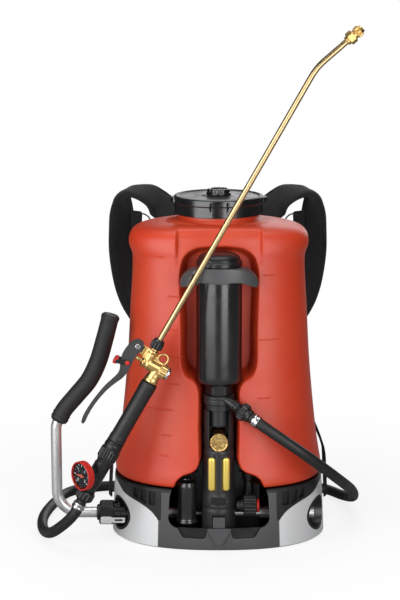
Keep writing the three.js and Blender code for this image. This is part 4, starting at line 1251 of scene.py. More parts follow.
def lever_socket():
    """Square block on a ribbed stem, with two lugs for the latch and a collar round the bar."""
    low, high = (-168, HUB_Y - 14.3, HUB_Z - 14.3), (-146.5, HUB_Y + 14.3, HUB_Z + 14.3)
    body = edge(block("socket_block", low, high, BLACK), 3.6, 4)
    axle = Matrix.Translation((0, HUB_Y, HUB_Z)) @ ALONG_X
    neck = [
        (0, -150), (12.4, -150), (12.4, -143), (13.8, -142), (13.8, -138.5), (12, -137.5), (12, -133),
        (13.6, -132.4), (13.6, -128.4), (0, -128.4),
    ]
    stem = lathe("stem", neck, BLACK, axle, 96, 0.6, ribbed(12, 0.9, -151, -127))
    lugs = []
    for z in (HUB_Z - 9.5, HUB_Z + 8.5):
        lug = block("lug", (-150, HUB_Y - 15.4, z - 2.6), (-131, HUB_Y - 4, z + 2.6), BLACK)
        lugs.append(edge(lug, 1.1, 3))
    rim = [(7.9, -171), (10.6, -171), (11.2, -169.6), (11.2, -166), (7.9, -166)]
    collar = lathe("collar", rim, BLACK, axle, 64, 0.6, closed=True)
    dress(gather("socket", [body, stem, collar] + lugs), "drive", "black_plastic", "lever_socket")


def lever_clip():
    """Sliding latch: a thumb plate and a slotted tongue."""
    front, back = HUB_Y - 17.4, HUB_Y - 15.2
    tongue = front_plate("latch_tongue", rounded(-150, 24.8, -131, 32.2, 2), front + 0.5, back, BRIGHT)
    bar = cut(tongue, front_plate("slot", rounded(-146, 27.1, -134.5, 29.9, 1.3), front - 5, back + 5))
    plate = front_plate("latch_pad", rounded(-165.5, 23.4, -149, 33.6, 3), front, back, BRIGHT)
    rim = front_plate("latch_rim", rounded(-163.5, 25, -151, 32, 2), front - 0.5, front + 0.3, BRIGHT)
    whole = gather("latch", [edge(bar, 0.35, 2), edge(plate, 0.5, 3), edge(rim, 0.3, 2)])
    dress(whole, "clip", "steel", "lever_clip")


# ---------------------------------------------------------------- spray gun

VALVE_Z = 21.0
GUN_X_AXIS = GUN @ Matrix.Translation((0, 0, VALVE_Z)) @ ALONG_X
GUN_SIDE = GUN @ FACING_FRONT
GUN_LANCE = GUN @ Matrix.Translation((LANCE_X, 0, 0))
LOCK_PIVOT = (-40.0, 10.0)


def gun_pivot(x, z):
    """Axis straight across the gun, through a point of its side view."""
    return GUN @ Matrix.Translation((x, 0, z)) @ FACING_FRONT


def gun_plate(name, outline, low, high, material=None):
    """Plate over an [x, z] outline in the gun's frame, between two distances towards the front."""
    return prism(name, outline, low, high, material, GUN_SIDE)


def valve_body():
    """Casting: inlet, cross bore with its cap, outlet, ribbed web for the trigger and hanging eye."""
    inlet = [(0, 0.3), (9.6, 0.3), (10.2, 1.4), (10.2, 4), (9.2, 7), (9.0, 10), (8.2, 14), (8, 24), (0, 24)]
    cross = [
        (0, -24), (6.4, -24), (8.4, -23), (8.4, -20.6), (7.2, -19.4), (7.2, -17), (8.2, -15.6), (8.2, 13),
        (0, 13),
    ]
    cap = [(0, 3.5), (9.4, 3.5), (10, 4.4), (10, 11.6), (9.4, 12.6), (0, 12.6)]
    outlet = [
        (0, VALVE_Z), (6.8, VALVE_Z), (6.8, 34), (6.2, 36), (7.6, 37), (7.6, 40.4), (5.8, 41.6), (5.6, 43.8),
        (0, 43.8),
    ]
    turned = [
        lathe("inlet", inlet, None, GUN, 64, 1),
        lathe("cross", cross, None, GUN_X_AXIS, 64, 0.7),
        lathe("cap", cap, None, GUN_X_AXIS, 120, 0.5, ribbed(14, 1.1, 4, 12)),
        lathe("outlet", outlet, None, GUN_LANCE, 64, 0.6),
    ]
    px, pz = TRIGGER_PIVOT
    web = [
        (-17, 27), (-16, 40), (-28, 41.2), (px, pz + 5.2), (px - 4.6, pz + 2), (px - 4.6, pz - 4),
        (px, pz - 6), (-30, 27.6), (-23, 24),
    ]
    web = gun_plate("web", web, -2.4, 2.4)
    ribs = []
    for x in (-35.6, -30.2, -24.8):
        ribs.append(gun_plate("rib", [(x, 27 - 0.1 * x), (x + 2.2, 27), (x + 2.2, 41.2), (x, 41)], -4.1, 4.1))
    gusset = gun_plate("gusset", [(-12, 20), (9, 20), (5, 30), (-10, 33)], -2.2, 2.2)
    ring = [(6.8 * math.cos(TAU * i / 40), 0, 36 + 6.8 * math.sin(TAU * i / 40)) for i in range(41)]
    eye = pipe("eye", ring, 1.75, None, GUN, 14)
    strap = gun_plate("bar", [(-11, 31), (-6, 30), (-6, 34), (-11, 36)], -2, 2)
    body = gather("brass_body", turned + [web, gusset, eye, strap] + ribs, BRASS)
    cast(body, 0.55, 3)
    pin_hole = rod("pin_hole", 2.7, -12, 12, BRASS, gun_pivot(px, pz))
    body = cut(body, pin_hole, rod("stem_hole", 3.3, -42, -8, BRASS, GUN_X_AXIS))
    dress(body, "gun", "brass", "valve_body")


def chrome_plug():
    profile = [(0, 13), (8.6, 13), (9, 13.6), (9, 16), (8, 17), (0, 17)]
    plug = lathe("slotted_plug", profile, CHROME, GUN_X_AXIS, 96, 0.5)
    slot = block("slot", (-11, -1.2, 15.4), (11, 1.2, 19), CHROME, GUN_X_AXIS)
    dress(edge(cut(plug, slot), 0.25, 2, 40), "gun", "steel", "chrome_plug")


TRIGGER_EDGE = [
    (-38.6, 43.8), (-43, 42.8), (-47.2, 38), (-50, 29), (-51, 15), (-48.5, 5), (-44.6, -3), (-43.4, -11),
    (-45.5, -20), (-50, -34), (-53.4, -52), (-55.4, -70), (-55.6, -86), (-54, -93), (-51.6, -93.8),
    (-50, -92), (-50.6, -80), (-50.4, -66), (-48.4, -50), (-44.5, -34), (-39.4, -21), (-35.4, -12),
    (-33.8, -3), (-34, 8), (-34, 26), (-31.6, 32), (-31, 38), (-33.6, 42.6),
]


def trigger():
    """Finger lever, thin below, with a fork over the web of the valve body."""
    outline = spline([(x, z, 0) for x, z in TRIGGER_EDGE + TRIGGER_EDGE[:1]], 3)[:-1]
    body = gun_plate("finger_lever", [(p[0], p[1]) for p in outline], -7, 7, TRIGGER_GREY)
    boxes = [("side", -20, -5.4, -110, -8), ("side", 5.4, 20, -110, -8), ("fork", -4.6, 4.6, 25.4, 60)]
    tools = [block(name, (-70, y0, z0), (0, y1, z1), None, GUN) for name, y0, y1, z0, z1 in boxes]
    for pivot, radius in ((TRIGGER_PIVOT, 2.7), (LOCK_PIVOT, 2.9)):
        tools.append(rod("hole", radius, -20, 20, None, gun_pivot(*pivot)))
    body = cut(body, *tools)
    edge(body, 1.5, 4, 40)
    dress(body, "gun_trigger", "black_plastic", "trigger")


def trigger_pin():
    half = [(2.3, 7.3), (3.9, 7.4), (3.9, 8.2), (3.2, 8.9), (0, 9)]
    profile = [(r, -z) for r, z in reversed(half)] + half
    rivet = lathe("rivet", profile, CHROME, gun_pivot(*TRIGGER_PIVOT), 64, 0.3)
    dress(rivet, "gun", "steel", "trigger_pin")


def trigger_lock():
    """Cross pin with two cheeks and a thumb tab."""
    x, z = LOCK_PIVOT
    half = [(2.4, 7.4), (3.4, 8.8), (2.8, 9.5), (0, 9.6)]
    pin = [(r, -h) for r, h in reversed(half)] + half
    pin = lathe("pin", pin, RED_PART, gun_pivot(x, z), 48, 0.3)
    cheek = [(3.4, -3), (3.4, 3), (-2, 3.6), (-15, -2.6), (-16, -8), (-11, -7)]
    cheek = soften([(x + a, z + b) for a, b in cheek], 2, True)
    cheeks = [edge(gun_plate("cheek", cheek, low, low + 1.5, BLACK), 0.5, 2) for low in (-8.9, 7.4)]
    tab = soften([(x - 12.6, z + 0.6), (x - 17.4, z - 1.6), (x - 18, z - 10), (x - 12.6, z - 9)], 1.6, True)
    tab = edge(gun_plate("tab", tab, -8.4, 8.4, RED_PART), 1.0, 3)
    dress(gather("catch", [pin, tab] + cheeks), "lock_catch", "red_plastic", "trigger_lock")


def handle():
    """Rubber tube, fitting with the gauge's stem, hose nut and ferrule."""
    profile = [
        (7, -95), (11.4, -95), (12, -93.6), (12, -88), (11.3, -85), (11, -50), (11.2, -20), (11.6, -6),
        (11.4, -2.2), (10.6, -0.5), (7, -0.5),
    ]
    tube = lathe("handle", profile, RUBBER, GUN, 96, 1.2, closed=True)
    dress(tube, "gun", "black_rubber", "grip_tube")
    profile = [
        (5, -173.6), (9.6, -173.6), (10.4, -172), (10.4, -163), (11.3, -161), (11.3, -132), (10.4, -130.6),
        (10.4, -128), (11.2, -127), (11.2, -125), (13.2, -122.6), (13.6, -120.8), (13.6, -109), (13, -107.6),
        (12, -106.4), (12.6, -104.4), (12.6, -100), (11.6, -98.6), (12.2, -97.4), (12.2, -95.4), (5, -95.4),
    ]
    sleeve = lathe("sleeve", profile, BLACK, GUN, 160, 0.6, ribbed(18, 1.1, -121.5, -108.5), closed=True)
    profile = [(0, 6), (8, 6), (8, 17), (9.4, 18), (9.4, 19.6), (0, 19.6)]
    parts = [sleeve, lathe("gauge_stem", profile, BLACK, GAUGE, 64, 0.6)]
    for side, _ in SIDES:
        lug = block("lug", (-4, side * 12 - 1.4, -134), (4, side * 12 + 1.4, -118), BLACK, GUN)
        parts.append(edge(lug, 0.6, 2))
    dress(gather("adapter", parts), "gun", "black_plastic", "grip_adapter")
    profile = [
        (5, -190), (8.8, -190), (9.6, -188.8), (12.4, -187), (12.9, -185.6), (12.9, -178), (11.6, -175.6),
        (10.6, -174), (5, -174),
    ]
    nut = lathe("hose_union", profile, BLACK, GUN, 168, 0.5, ribbed(12, 1.6, -187.6, -176.5), closed=True)
    dress(nut, "gun", "black_plastic", "hose_nut")
    dress(ferrule("hose_clamp_gun", -203, -195, GUN), "gun", "steel", "hose_ferrule")


# ---------------------------------------------------------------- pressure gauge

DIAL_START, DIAL_END, DIAL_MARKS = 220.0, -40.0, 13


def dial_angle(share):
    """Angle in the dial's plane, where local +X is up and local +Y is to the left."""
    return math.radians(DIAL_START + (DIAL_END - DIAL_START) * share) - TAU / 4


def dial_face():
    """Dial with tick marks, a long one at every other place, and four figures."""
    profile = [(0, 27.4), (17.2, 27.4), (17.2, 28), (16.6, 28.2), (0, 28.2)]
    parts = [lathe("face", profile, BLACK, GAUGE, 96, 0.2)]
    for i in range(DIAL_MARKS):
        start, half = (13.8, 0.25) if i % 2 else (12.6, 0.45)
        turned = GAUGE @ Matrix.Rotation(dial_angle(i / (DIAL_MARKS - 1)), 4, "Z")
        parts.append(block("mark", (start, -half, 28.1), (15.6, half, 28.36), WHITE, turned))
    for i, figure in enumerate("0246"):
        angle = dial_angle(i / 3)
        parts.append(dial_figure(figure, 9.4 * math.cos(angle), 9.4 * math.sin(angle)))
    return gather("dial_face", parts)


def gauge():
    body = [(0, 19.9), (9.8, 19.9), (15.5, 20.4), (17.2, 21.6), (17.2, 27), (0, 27)]
    dress(lathe("gauge_case", body, BLACK, GAUGE, 96, 0.8), "gun", "black_plastic", "gauge_body")
    ring = [
        (17.9, 21), (19, 21), (20, 22.2), (20, 30.6), (19.8, 31.2), (19, 31.6), (18.5, 31.4), (17.9, 31.2),
    ]
    bezel = lathe("bezel", ring, RED_PART, GAUGE, 240, 0.5, ribbed(40, 0.8, 21.6, 30.8), closed=True)
    dress(bezel, "gun", "red_plastic", "gauge_ring")
    dress(dial_face(), "gun", "black_plastic", "gauge_dial")
    blade = [(-1.2, -5), (1.2, -5), (0.9, 8), (0.15, 13), (-0.15, 13), (-0.9, 8)]
    blade = edge(prism("blade", blade, 28.6, 29.2, NEEDLE, GAUGE), 0.12, 2)
    cap = [(0, 28.6), (2.4, 28.6), (2.4, 29.2), (1.8, 29.6), (0, 29.6)]
    cap = lathe("cap", cap, NEEDLE, GAUGE, 40, 0.2)
    dress(gather("pointer", [blade, cap]), "needle", "red_plastic", "gauge_needle")
    pane = [(0, 30), (17.2, 30), (17.2, 30.8), (16, 31.1), (8, 31.4), (0, 31.5)]
    dress(lathe("lens", pane, LENS, GAUGE, 96, 0.2), "gun", "clear_plastic", "gauge_lens")


def dial_figure(text, up, left):
    """Small raised number, upright on the dial."""
    curve = bpy.data.curves.new("figure", "FONT")
    curve.body = text
    curve.align_x = "CENTER"
    curve.align_y = "CENTER"
    curve.size = 6.4
    curve.extrude = 0.1
    source = bpy.data.objects.new("figure", curve)
    mesh = bpy.data.meshes.new_from_object(source)
    bpy.data.objects.remove(source)
    upright = Matrix.Rotation(-TAU / 4, 4, "Z")
    place = GAUGE @ Matrix.Translation((up, left, 28.25)) @ upright
    mesh.transform(Matrix.Scale(MM, 4) @ place)
    mesh.materials.clear()
    mesh.materials.append(WHITE)
    obj = bpy.data.objects.new("figure", mesh)
    bpy.context.scene.collection.objects.link(obj)
    return obj


# ---------------------------------------------------------------- lance and nozzle

LANCE_BEND, LANCE_TURN, LANCE_TAIL = 472.0, math.radians(19.5), 50.0


def lance_point(run):
    return (LANCE_X + run * math.sin(LANCE_TURN), 0, LANCE_BEND + run * math.cos(LANCE_TURN))


def lance():
    """Brass tube with a rounded bend near its tip, and the ribbed nut that holds it."""
    start, corner, end = np.array([(LANCE_X, 0, LANCE_BEND - 14), lance_point(0), lance_point(14)])
    bend = [(1 - t) ** 2 * start + 2 * t * (1 - t) * corner + t * t * end for t in np.linspace(0, 1, 12)]
    straight = [(LANCE_X, 0, z) for z in np.linspace(45, LANCE_BEND - 15, 24)]
    path = straight + bend + [lance_point(run) for run in np.linspace(16, LANCE_TAIL, 5)]
    dress(pipe("lance_pipe", path, 4, LANCE_BRASS, GUN, 32), "lance", "brass", "lance_tube")
    profile = [
        (4.35, 44.2), (8, 44.2), (8.8, 45.4), (8.8, 52.4), (8, 54), (7.2, 55), (7.2, 57), (6.6, 57.6),
        (4.35, 57.6),
    ]
    nut = lathe("gland_nut", profile, BLACK, GUN_LANCE, 160, 0.5, ribbed(10, 1.5, 45, 53.5), closed=True)
    dress(nut, "lance", "black_plastic", "lance_nut")


def nozzle():
    place = GUN @ Matrix.Translation(lance_point(0)) @ Matrix.Rotation(LANCE_TURN, 4, "Y")
    end = LANCE_TAIL
    profile = [
        (1.6, 0.3), (5.4, 0.3), (6, 1), (6, 3.8), (7.4, 4), (9.2, 5), (9.2, 12), (7.4, 13), (6.2, 13.2),
        (6.2, 16), (7.2, 16.4), (7.7, 17.2), (7.7, 22.8), (6.6, 24), (5.6, 24.4), (4.6, 27), (1.6, 27),
    ]
    flats = hexagon(end + 3.9, end + 13.1, 7.7)
    knurl = ribbed(30, 0.55, end + 16.5, end + 23.5)

    def shape(angle, radius, z):
        return knurl(angle, flats(angle, radius, z), z)

    tip = lathe("nozzle_tip", [(r, end + z) for r, z in profile], BRASS, place, 180, 0.4, shape, True)
    dress(tip, "spray_tip", "brass", "nozzle")


# ---------------------------------------------------------------- hose

HOSE_RADIUS = 7.5
HOSE_SPAN, HOSE_SPLIT = 14, 12


def hose_points():
    """From the pump's outlet round the right side and behind the base, up to the gun."""
    out = [tuple(OUT_START + OUT_WAY * t) for t in (29.2, 50)]
    side = [
        (113, -121, 143), (141, -104, 118), (167, -72, 90), (187, -25, 62), (196, 15, 41), (198, 58, 22),
        (188, 102, 10), (158, 142, 8.2), (90, 158, 8.2), (0, 160, 8.2), (-110, 158, 8.2), (-180, 148, 8.2),
        (-221, 126, 8.2), (-241, 75, 8.2), (-252, 12, 8.2), (-250, -34, 8.6), (-241, -70, 12),
        (-227, -98, 24),
    ]
    gun = [tuple(GUN @ Vector((0, 0, z))) for z in (-215, -190.6)]
    return out + side + gun


def hose():
    """The supply stays on the chassis; the loop beside the base is a separate piece that rides on no body."""
    path = spline(hose_points(), HOSE_SPAN)
    split = HOSE_SPLIT * HOSE_SPAN
    supply = pipe("hose_supply", path[:split + 1], HOSE_RADIUS, RUBBER, sides=40)
    dress(supply, "chassis", "black_rubber", "hose")
    loop = pipe("hose_loop", path[split:], HOSE_RADIUS, RUBBER, sides=40)
    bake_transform(loop)


# ---------------------------------------------------------------- carrying harness

# Right strap: centre, direction across, width and thickness of each station.
STRAP = [
    ((46, 124, 416), (0.25, -0.7, -0.55), 42, 5), ((64, 136, 431), (0.2, -0.75, -0.58), 48, 5.5),
    ((85, 147, 444), (0.17, -0.77, -0.61), 54, 6.5), ((101, 147.5, 458), (0.15, -0.89, -0.43), 50, 8),
    ((117, 147, 462.5), (0.13, -0.96, -0.23), 47, 9), ((132, 146, 462), (0.26, -0.96, -0.03), 46, 10),
    ((139.5, 146, 453.5), (0.4, -0.92, 0.06), 48, 10.5),
    ((141.5, 146.5, 434.5), (0.56, -0.83, 0.1), 52, 10.5),
    ((141, 146.5, 409), (0.62, -0.78, 0.04), 55, 10.5), ((141, 146.5, 380), (0.62, -0.78, 0), 56, 10.5),
    ((138, 141, 350), (0.61, -0.79, 0), 55, 10.5), ((133, 136, 322), (0.6, -0.8, 0), 52, 10),
    ((127, 131, 300), (0.57, -0.82, 0), 46, 10), ((117, 127, 279), (0.52, -0.85, 0), 40, 9),
    ((108, 124, 266), (0.45, -0.87, 0), 34, 6),
]
WEBBING_LINE = [
    ((103, 125, 262), (0.45, -0.87, 0.1), 25, 2.4), ((100, 125, 240), (0.5, -0.85, 0.2), 25, 2.4),
    ((104, 121, 195), (0.5, -0.85, 0.1), 25, 2.4), ((130, 100, 150), (0.35, -0.9, -0.2), 25, 2.4),
    ((152.5, 54, 104), (0.1, -0.95, -0.2), 25, 2.4), ((155, 32, 68), (0.1, -1, 0), 25, 2.4),
    ((155.5, 16, 38), (0.1, -1, 0), 25, 2.4),
]


BAND_SPAN, BAND_SIDES = 10, 40


def band_stations(stations, side):
    """Smooth centres, directions across, face normals, widths and thicknesses along a band."""
    rows = [(side * c[0], c[1], c[2], side * d[0], d[1], d[2], w, t) for c, d, w, t in stations]
    rows = np.array(spline_rows(rows))
    ways = tangents(rows[:, :3])
    across = rows[:, 3:6] / np.linalg.norm(rows[:, 3:6], axis=1)[:, None]
    across -= ways * (across * ways).sum(1)[:, None]
    across /= np.linalg.norm(across, axis=1)[:, None]
    faces = np.cross(ways, across)
    return rows[:, :3], across, faces, rows[:, 6], rows[:, 7]


def spline_rows(rows):
    """Like spline, but only the first three columns set the spacing."""
    centres = [np.array(row[:3], float) for row in rows]
    run = lengths(centres)
    spans = np.arange((len(rows) - 1) * BAND_SPAN + 1) / BAND_SPAN
    share = np.interp(spans, range(len(rows)), run)
    others = np.array([row[3:] for row in rows], float)
    columns = [np.interp(share, run, column) for column in others.T]
    return np.column_stack([spline(centres, BAND_SPAN), *columns])


def band(name, stations, side, material, crown=0.0, creases=0.0):
    """Strap with rounded edges; crown pads its faces and creases ripple it where it bends."""
    centres, across, faces, widths, depths = band_stations(stations, side)
    run = lengths(centres)
    rings, uvs = [], []
    phase = [RANDOM.uniform(0, TAU) for _ in range(3)]
    for centre, w, n, width, depth, distance in zip(centres, across, faces, widths, depths, run):
        ring = []
        ripple = creases * (math.sin(distance / 9 + phase[0]) + 0.6 * math.sin(distance / 4.3 + phase[1]))
        for i in range(BAND_SIDES):
            a = TAU * i / BAND_SIDES
            u = np.sign(math.cos(a)) * abs(math.cos(a)) ** 0.42
            v = np.sign(math.sin(a)) * abs(math.sin(a)) ** 0.75
            swell = 1 + crown * (1 - u * u) - 0.3 * crown * math.exp(-((abs(u) - 0.8) / 0.05) ** 2)
            lift = v * (depth / 2 * swell + ripple * (1 - u * u))
            ring.append(centre + w * u * width / 2 + n * lift)
            uvs.append((u * width / 2 * MM, distance * MM))
        rings.append(ring)
    uvs += [(0, 0), (0, run[-1] * MM)]
    return rings_object(name, rings, material, uvs=uvs, crease=180)


STITCH_PITCH, STITCH_LENGTH, THREAD_RADIUS = 4.0, 2.48, 0.42


def stitches(name, stations, side, offset, face):
    """Row of thread stitches along a band, at a share of its half width."""
    centres, across, faces, widths, depths = band_stations(stations, side)
    run = lengths(centres)
    corners, quads = [], []
    for start in np.arange(6, run[-1] - 8, STITCH_PITCH):
        ends = []
        for distance in (start, start + STITCH_LENGTH):
            rows = [[np.interp(distance, run, r[:, k]) for k in range(3)] for r in (centres, across, faces)]
            centre, w, n = (np.array(row) for row in rows)
            sideways = w * offset * np.interp(distance, run, widths) / 2
            ends.append((centre + sideways + n * face * np.interp(distance, run, depths) * 0.46, w, n))
        (p, w, n), (q, _, _) = ends
        base = len(corners)
        for point, swell in ((p, 0.3), ((p + q) / 2, 1.0), (q, 0.3)):
            wide, rise = THREAD_RADIUS * w, face * n * THREAD_RADIUS * swell
            corners += [point - wide, point + rise, point + wide, point - rise * 0.6]
        for r in (base, base + 4):
            pairs = [(r + i, r + (i + 1) % 4) for i in range(4)]
            quads += [(i, j, j + 4, i + 4) for i, j in pairs]
        quads += [(base, base + 3, base + 2, base + 1), (base + 8, base + 9, base + 10, base + 11)]
    return mesh_object(name, corners, quads, THREAD, crease=180)


def strap_edge(name, side, way):
    """Narrow tape sewn over one edge of the padded strap."""
    stations = []
    for centre, across, width, _ in STRAP:
        shift = way * np.array(across) / np.linalg.norm(across) * width * 0.5
        stations.append((np.array(centre) + shift, across, 2.6, 3.4))
    return band(name, stations, side, WEBBING)


def shoulder_strap(side, word):
    strap = band("padded_strap_" + word, STRAP, side, STRAP_CLOTH, 0.28, 0.22)
    dress(strap, "chassis", "black_fabric", "shoulder_strap_" + word)
    rows = [stitches("row", STRAP, side, offset, face) for offset in (-0.8, 0.8) for face in (-1, 1)]
    dress(gather("strap_stitches_" + word, rows), "chassis", "black_fabric")
    tapes = [strap_edge("edge_binding", side, 1), strap_edge("binding", side, -1)]
    dress(gather("edge_binding_" + word, tapes), "chassis", "black_fabric")


STUD_X, STUD_Y, STUD_Z = 147.5, 19.5, 45


def lower_webbing(side, word):
    """Webbing from the strap's end down to a stud on the base."""
    web = band("webbing_" + word, WEBBING_LINE, side, WEBBING)
    dress(web, "chassis", "black_fabric", "lower_webbing_" + word)
    place = Matrix.Translation((side * STUD_X, STUD_Y, STUD_Z)) @ Matrix.Rotation(side * math.pi / 2, 4, "Y")
    profile = [(0, 0), (3, 0), (3, 8.2), (6, 8.4), (6, 9.4), (4.6, 10.6), (0, 10.9)]
    dress(lathe("webbing_stud_" + word, profile, BLACK, place, 48, 0.4), "chassis", "black_plastic")


def harness():
    for side, word in SIDES:
        shoulder_strap(side, word)
        lower_webbing(side, word)
        buckle(side, word)
        pull_cord(side, word)
    neck_yoke()


def neck_yoke():
    """Band that joins the two shoulder straps behind the tank's neck."""
    right = [
        ((46, 123, 415), (0.25, -0.7, -0.55), 43, 7), ((30, 113.5, 411), (0.16, -0.55, -0.8), 42, 7.5),
        ((14, 108, 410), (0.05, -0.3, -0.95), 40, 7.5),
    ]
    middle = [((0, 107, 410), (0, -0.25, -0.97), 39, 7.5)]
    left = [((-c[0], c[1], c[2]), (-d[0], d[1], d[2]), w, t) for c, d, w, t in reversed(right)]
    stations = right + middle + left
    dress(band("neck_yoke", stations, 1, STRAP_CLOTH, 0.2), "chassis", "black_fabric")
    rows = [stitches("row", stations, 1, offset, 1) for offset in (-0.82, 0.82)]
    dress(gather("yoke_stitches", rows), "chassis", "black_fabric")


BUCKLE_X, BUCKLE_Y, BUCKLE_Z, BUCKLE_TURN = 102, 125.5, 250, math.pi / 2 - 0.53


def buckle(side, word):
    """Three-bar slide buckle."""
    turn = Matrix.Rotation(side * BUCKLE_TURN, 4, "Z")
    place = Matrix.Translation((side * BUCKLE_X, BUCKLE_Y, BUCKLE_Z)) @ turn @ FACING_FRONT
    body = prism("buckle", rounded(-19, -8, 19, 8, 4), -3, 3, BLACK, place)
    slots = [prism("slot", rounded(-14.5, z - 2, 14.5, z + 2, 1.2), -9, 9, BLACK, place) for z in (-3.7, 3.7)]
    body = edge(cut(body, *slots), 0.8, 3)
    body.name = "slide_buckle_" + word
    dress(body, "chassis", "black_plastic", "strap_buckle_" + word)


def pull_cord(side, word):
    """Thin cord loop between the strap's inner flap and the tank's shoulder."""
    stations = [(119, 140, 429), (110, 134, 432), (102, 126, 429), (96, 112, 420), (92, 98, 410)]
    path = spline([(side * x, y, z) for x, y, z in stations], 8)
    place = Matrix.Translation((side * 92, 95, 406)) @ Matrix.Rotation(-0.7, 4, "X")
    anchor = lathe("anchor", [(0, 0), (4.5, 0), (4.5, 2), (3, 4), (0, 4.4)], BLACK, place, 40, 0.5)
    flap = soften([(side * 128, 436), (side * 111, 434), (side * 112, 408), (side * 128, 404)], 4, True)
    flap = edge(front_plate("flap", flap, 142, 145, WEBBING), 1.0, 3)
    cord = pipe("cord", path, 1.1, WEBBING, sides=14)
    dress(gather("cord_" + word, [cord, anchor, flap]), "chassis", "black_fabric")


PAD = {"half": 80.0, "low": 140.0, "high": 395.0, "front": 98.5, "back": 112.0}
PAD_SWELL = 0.006
CLOTH_FRAMES = 20


def back_pad():
    """Crowned cushion inflated by cloth simulation, then sewn down in channels."""
    half = PAD["half"] - 4
    outline = rounded(-half, PAD["low"] + 4, half, PAD["high"] - 4, 22)
    pad = front_plate("back_cushion", outline, PAD["front"] + 1.5, PAD["back"] - 1, PAD_CLOTH)
    skin = pad.modifiers.new("skin", "REMESH")
    skin.mode = "VOXEL"
    skin.voxel_size = 0.0045
    bake(pad)
    rest = np.array([v.co for v in pad.data.vertices])
    inflate(pad)
    sew(pad, rest)
    finer = pad.modifiers.new("finer", "SUBSURF")
    finer.levels = finer.render_levels = 1
    bake(pad)
    smooth(pad, 180)
    dress(pad, "chassis", "black_fabric", "back_pad")


def inflate(obj):
    """Air pressure inside a cloth skin, without gravity."""
    cloth = obj.modifiers.new("cloth", "CLOTH")
    cloth.settings.use_pressure = True
    cloth.settings.uniform_pressure_force = 4.0
    cloth.settings.effector_weights.gravity = 0.0
    cloth.point_cache.frame_start = 1
    cloth.point_cache.frame_end = CLOTH_FRAMES
    for number in range(1, CLOTH_FRAMES + 1):
        bpy.context.scene.frame_set(number)
    bake(obj)
    bpy.context.scene.frame_set(1)


def sew(obj, rest):
    """Caps how far the skin swelled, then presses the seams of the pad into its back."""
    moved = np.array([v.co for v in obj.data.vertices]) - rest
    reach = np.linalg.norm(moved, axis=1)
    points = rest + moved * np.minimum(1, PAD_SWELL / np.maximum(reach, 1e-9))[:, None]
    x, y, z = (points / MM).T
    outer = step(y, 104, 110)
    valley = np.zeros(len(points))
    for height in np.linspace(PAD["low"] + 50, PAD["high"] - 50, 4):
        valley = np.maximum(valley, np.exp(-((z - height) / 3.2) ** 2))
    middle, half_height = (PAD["high"] + PAD["low"]) / 2, (PAD["high"] - PAD["low"]) / 2
    border = np.maximum(np.abs(x) / (PAD["half"] - 14), np.abs(z - middle) / (half_height - 14))
    valley = np.maximum(valley * (border < 1), np.exp(-((border - 1) / 0.028) ** 2))
    y = np.clip(y - 3.6 * valley * outer, PAD["front"] - 0.3, PAD["back"] + 4)
    sewn = np.stack([x, y, z], axis=1) * MM
    obj.data.vertices.foreach_set("co", sewn.astype(np.float32).ravel())
    obj.data.update()


BUILDERS = [
    tank, level_marks, base, side_panels, hub_bushes, lid, lid_vent, pump_housing, pump_cylinder,
    valve_plug, mount_disc, pump_head, outlet_fittings, chamber, saddle, suction_side, foot_knob,
    lever, lever_socket, lever_clip, valve_body, chrome_plug, trigger, trigger_pin, trigger_lock,
    handle, gauge, lance, nozzle, hose, harness, back_pad,
]


# ---------------------------------------------------------------- carried-over CAD nodes

KEPT_NODES = {
    "filler_strainer": WHITE, "lid_gasket": RUBBER, "piston_yoke": WHITE, "piston": WHITE,
    "piston_seal": RUBBER, "drive_shaft": STEEL, "crank_arm": STEEL, "valve_stem": BRASS,
}


def paint_kept_nodes():
    for name, obj in frame["nodes"].items():
        if obj.hide_render:
            continue
        obj.data.materials.clear()
        obj.data.materials.append(KEPT_NODES.get(name, BLACK))
        edge(obj, 0.5, 2, 40)


# ---------------------------------------------------------------- stage, light and camera

FLOOR_HALF, FLOOR_Z = 20000.0, -0.1


def floor_material():
    """Pale matte floor that fades, for the camera only, into the white surroundings."""
    s = Surface("floor", (0.3, 0.3, 0.3), 0.8)
    seen = s.node("LightPath").outputs["Is Camera Ray"]
    s.blend(seen, (0.95, 0.95, 0.95))
    distance = s.node("VectorMath", operation="LENGTH")
    s.link(s.where, distance.inputs[0])
    far = s.remap(distance.outputs["Value"], 0.8, 1, 0.1, 0.8, interpolation_type="SMOOTHSTEP")
    glow = s.node("Emission")
    mix = s.node("MixShader")
    s.link(s.math("MULTIPLY", far, seen), mix.inputs[0])
    material = s.done()
    s.link(s.shader.outputs[0], mix.inputs[1])
    s.link(glow.outputs[0], mix.inputs[2])
    s.link(mix.outputs[0], s.tree.nodes["Material Output"].inputs["Surface"])
    return material


def floor():
    corners = [(x, y, FLOOR_Z) for x, y in rectangle(-FLOOR_HALF, -FLOOR_HALF, FLOOR_HALF, FLOOR_HALF)]
    mesh_object("floor", corners, [(0, 1, 2, 3)], floor_material())


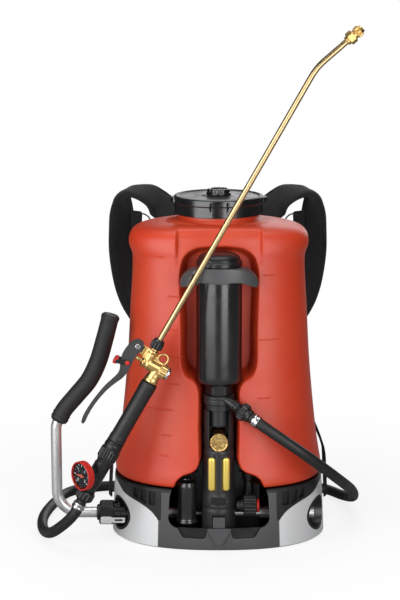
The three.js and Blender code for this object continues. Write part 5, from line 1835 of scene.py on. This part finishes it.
def area_light(name, place, size, power):
    """Soft box that faces the object's middle."""
    light = bpy.data.lights.new(name, "AREA")
    light.shape = "RECTANGLE"
    light.size, light.size_y = size
    light.energy = power
    stand(bpy.data.objects.new(name, light), place, LIT_POINT)


def stand(obj, place, target):
    """Puts a light or the camera in the scene and points it at a target."""
    bpy.context.scene.collection.objects.link(obj)
    obj.location = place
    obj.rotation_euler = (Vector(target) - Vector(place)).to_track_quat("-Z", "Y").to_euler()


SKY_LIGHT, SKY_SEEN = 0.03, 1.0
LIT_POINT = (0, 0, 0.4)


def studio():
    """White surroundings for the camera, a dimmer sky for the light, and four soft boxes."""
    world = bpy.data.worlds.new("studio")
    bpy.context.scene.world = world
    world.use_nodes = True
    tree = world.node_tree
    background = tree.nodes["Background"]
    background.inputs["Color"].default_value = (1, 1, 1, 1)
    seen = tree.nodes.new("ShaderNodeLightPath").outputs["Is Camera Ray"]
    power = tree.nodes.new("ShaderNodeMapRange")
    power.inputs["To Min"].default_value = SKY_LIGHT
    power.inputs["To Max"].default_value = SKY_SEEN
    tree.links.new(seen, power.inputs["Value"])
    tree.links.new(power.outputs[0], background.inputs["Strength"])
    area_light("box_left", (-0.95, -1.06, 0.62), (1.3, 1.24), 19)
    area_light("box_right", (0.62, -1.27, 0.62), (0.78, 1.24), 13)
    area_light("top", (0, -0.1, 2.4), (2.0, 1.6), 26)
    area_light("box_back", (0.7, 2.1, 1.1), (1.8, 1.5), 17)
    bpy.context.scene.view_settings.view_transform = "Standard"


CAMERA = {"place": (-0.026, -2.3, 0.802), "aim": (-0.026, 0.0, 0.33), "lens": 100.3, "sensor": 36.0}


def camera():
    data = bpy.data.cameras.new("camera")
    data.lens = CAMERA["lens"]
    data.sensor_width = CAMERA["sensor"]
    obj = bpy.data.objects.new("camera", data)
    stand(obj, CAMERA["place"], CAMERA["aim"])
    bpy.context.scene.camera = obj


# ---------------------------------------------------------------- build

for build in BUILDERS:
    build()
paint_kept_nodes()
floor()
studio()
camera()
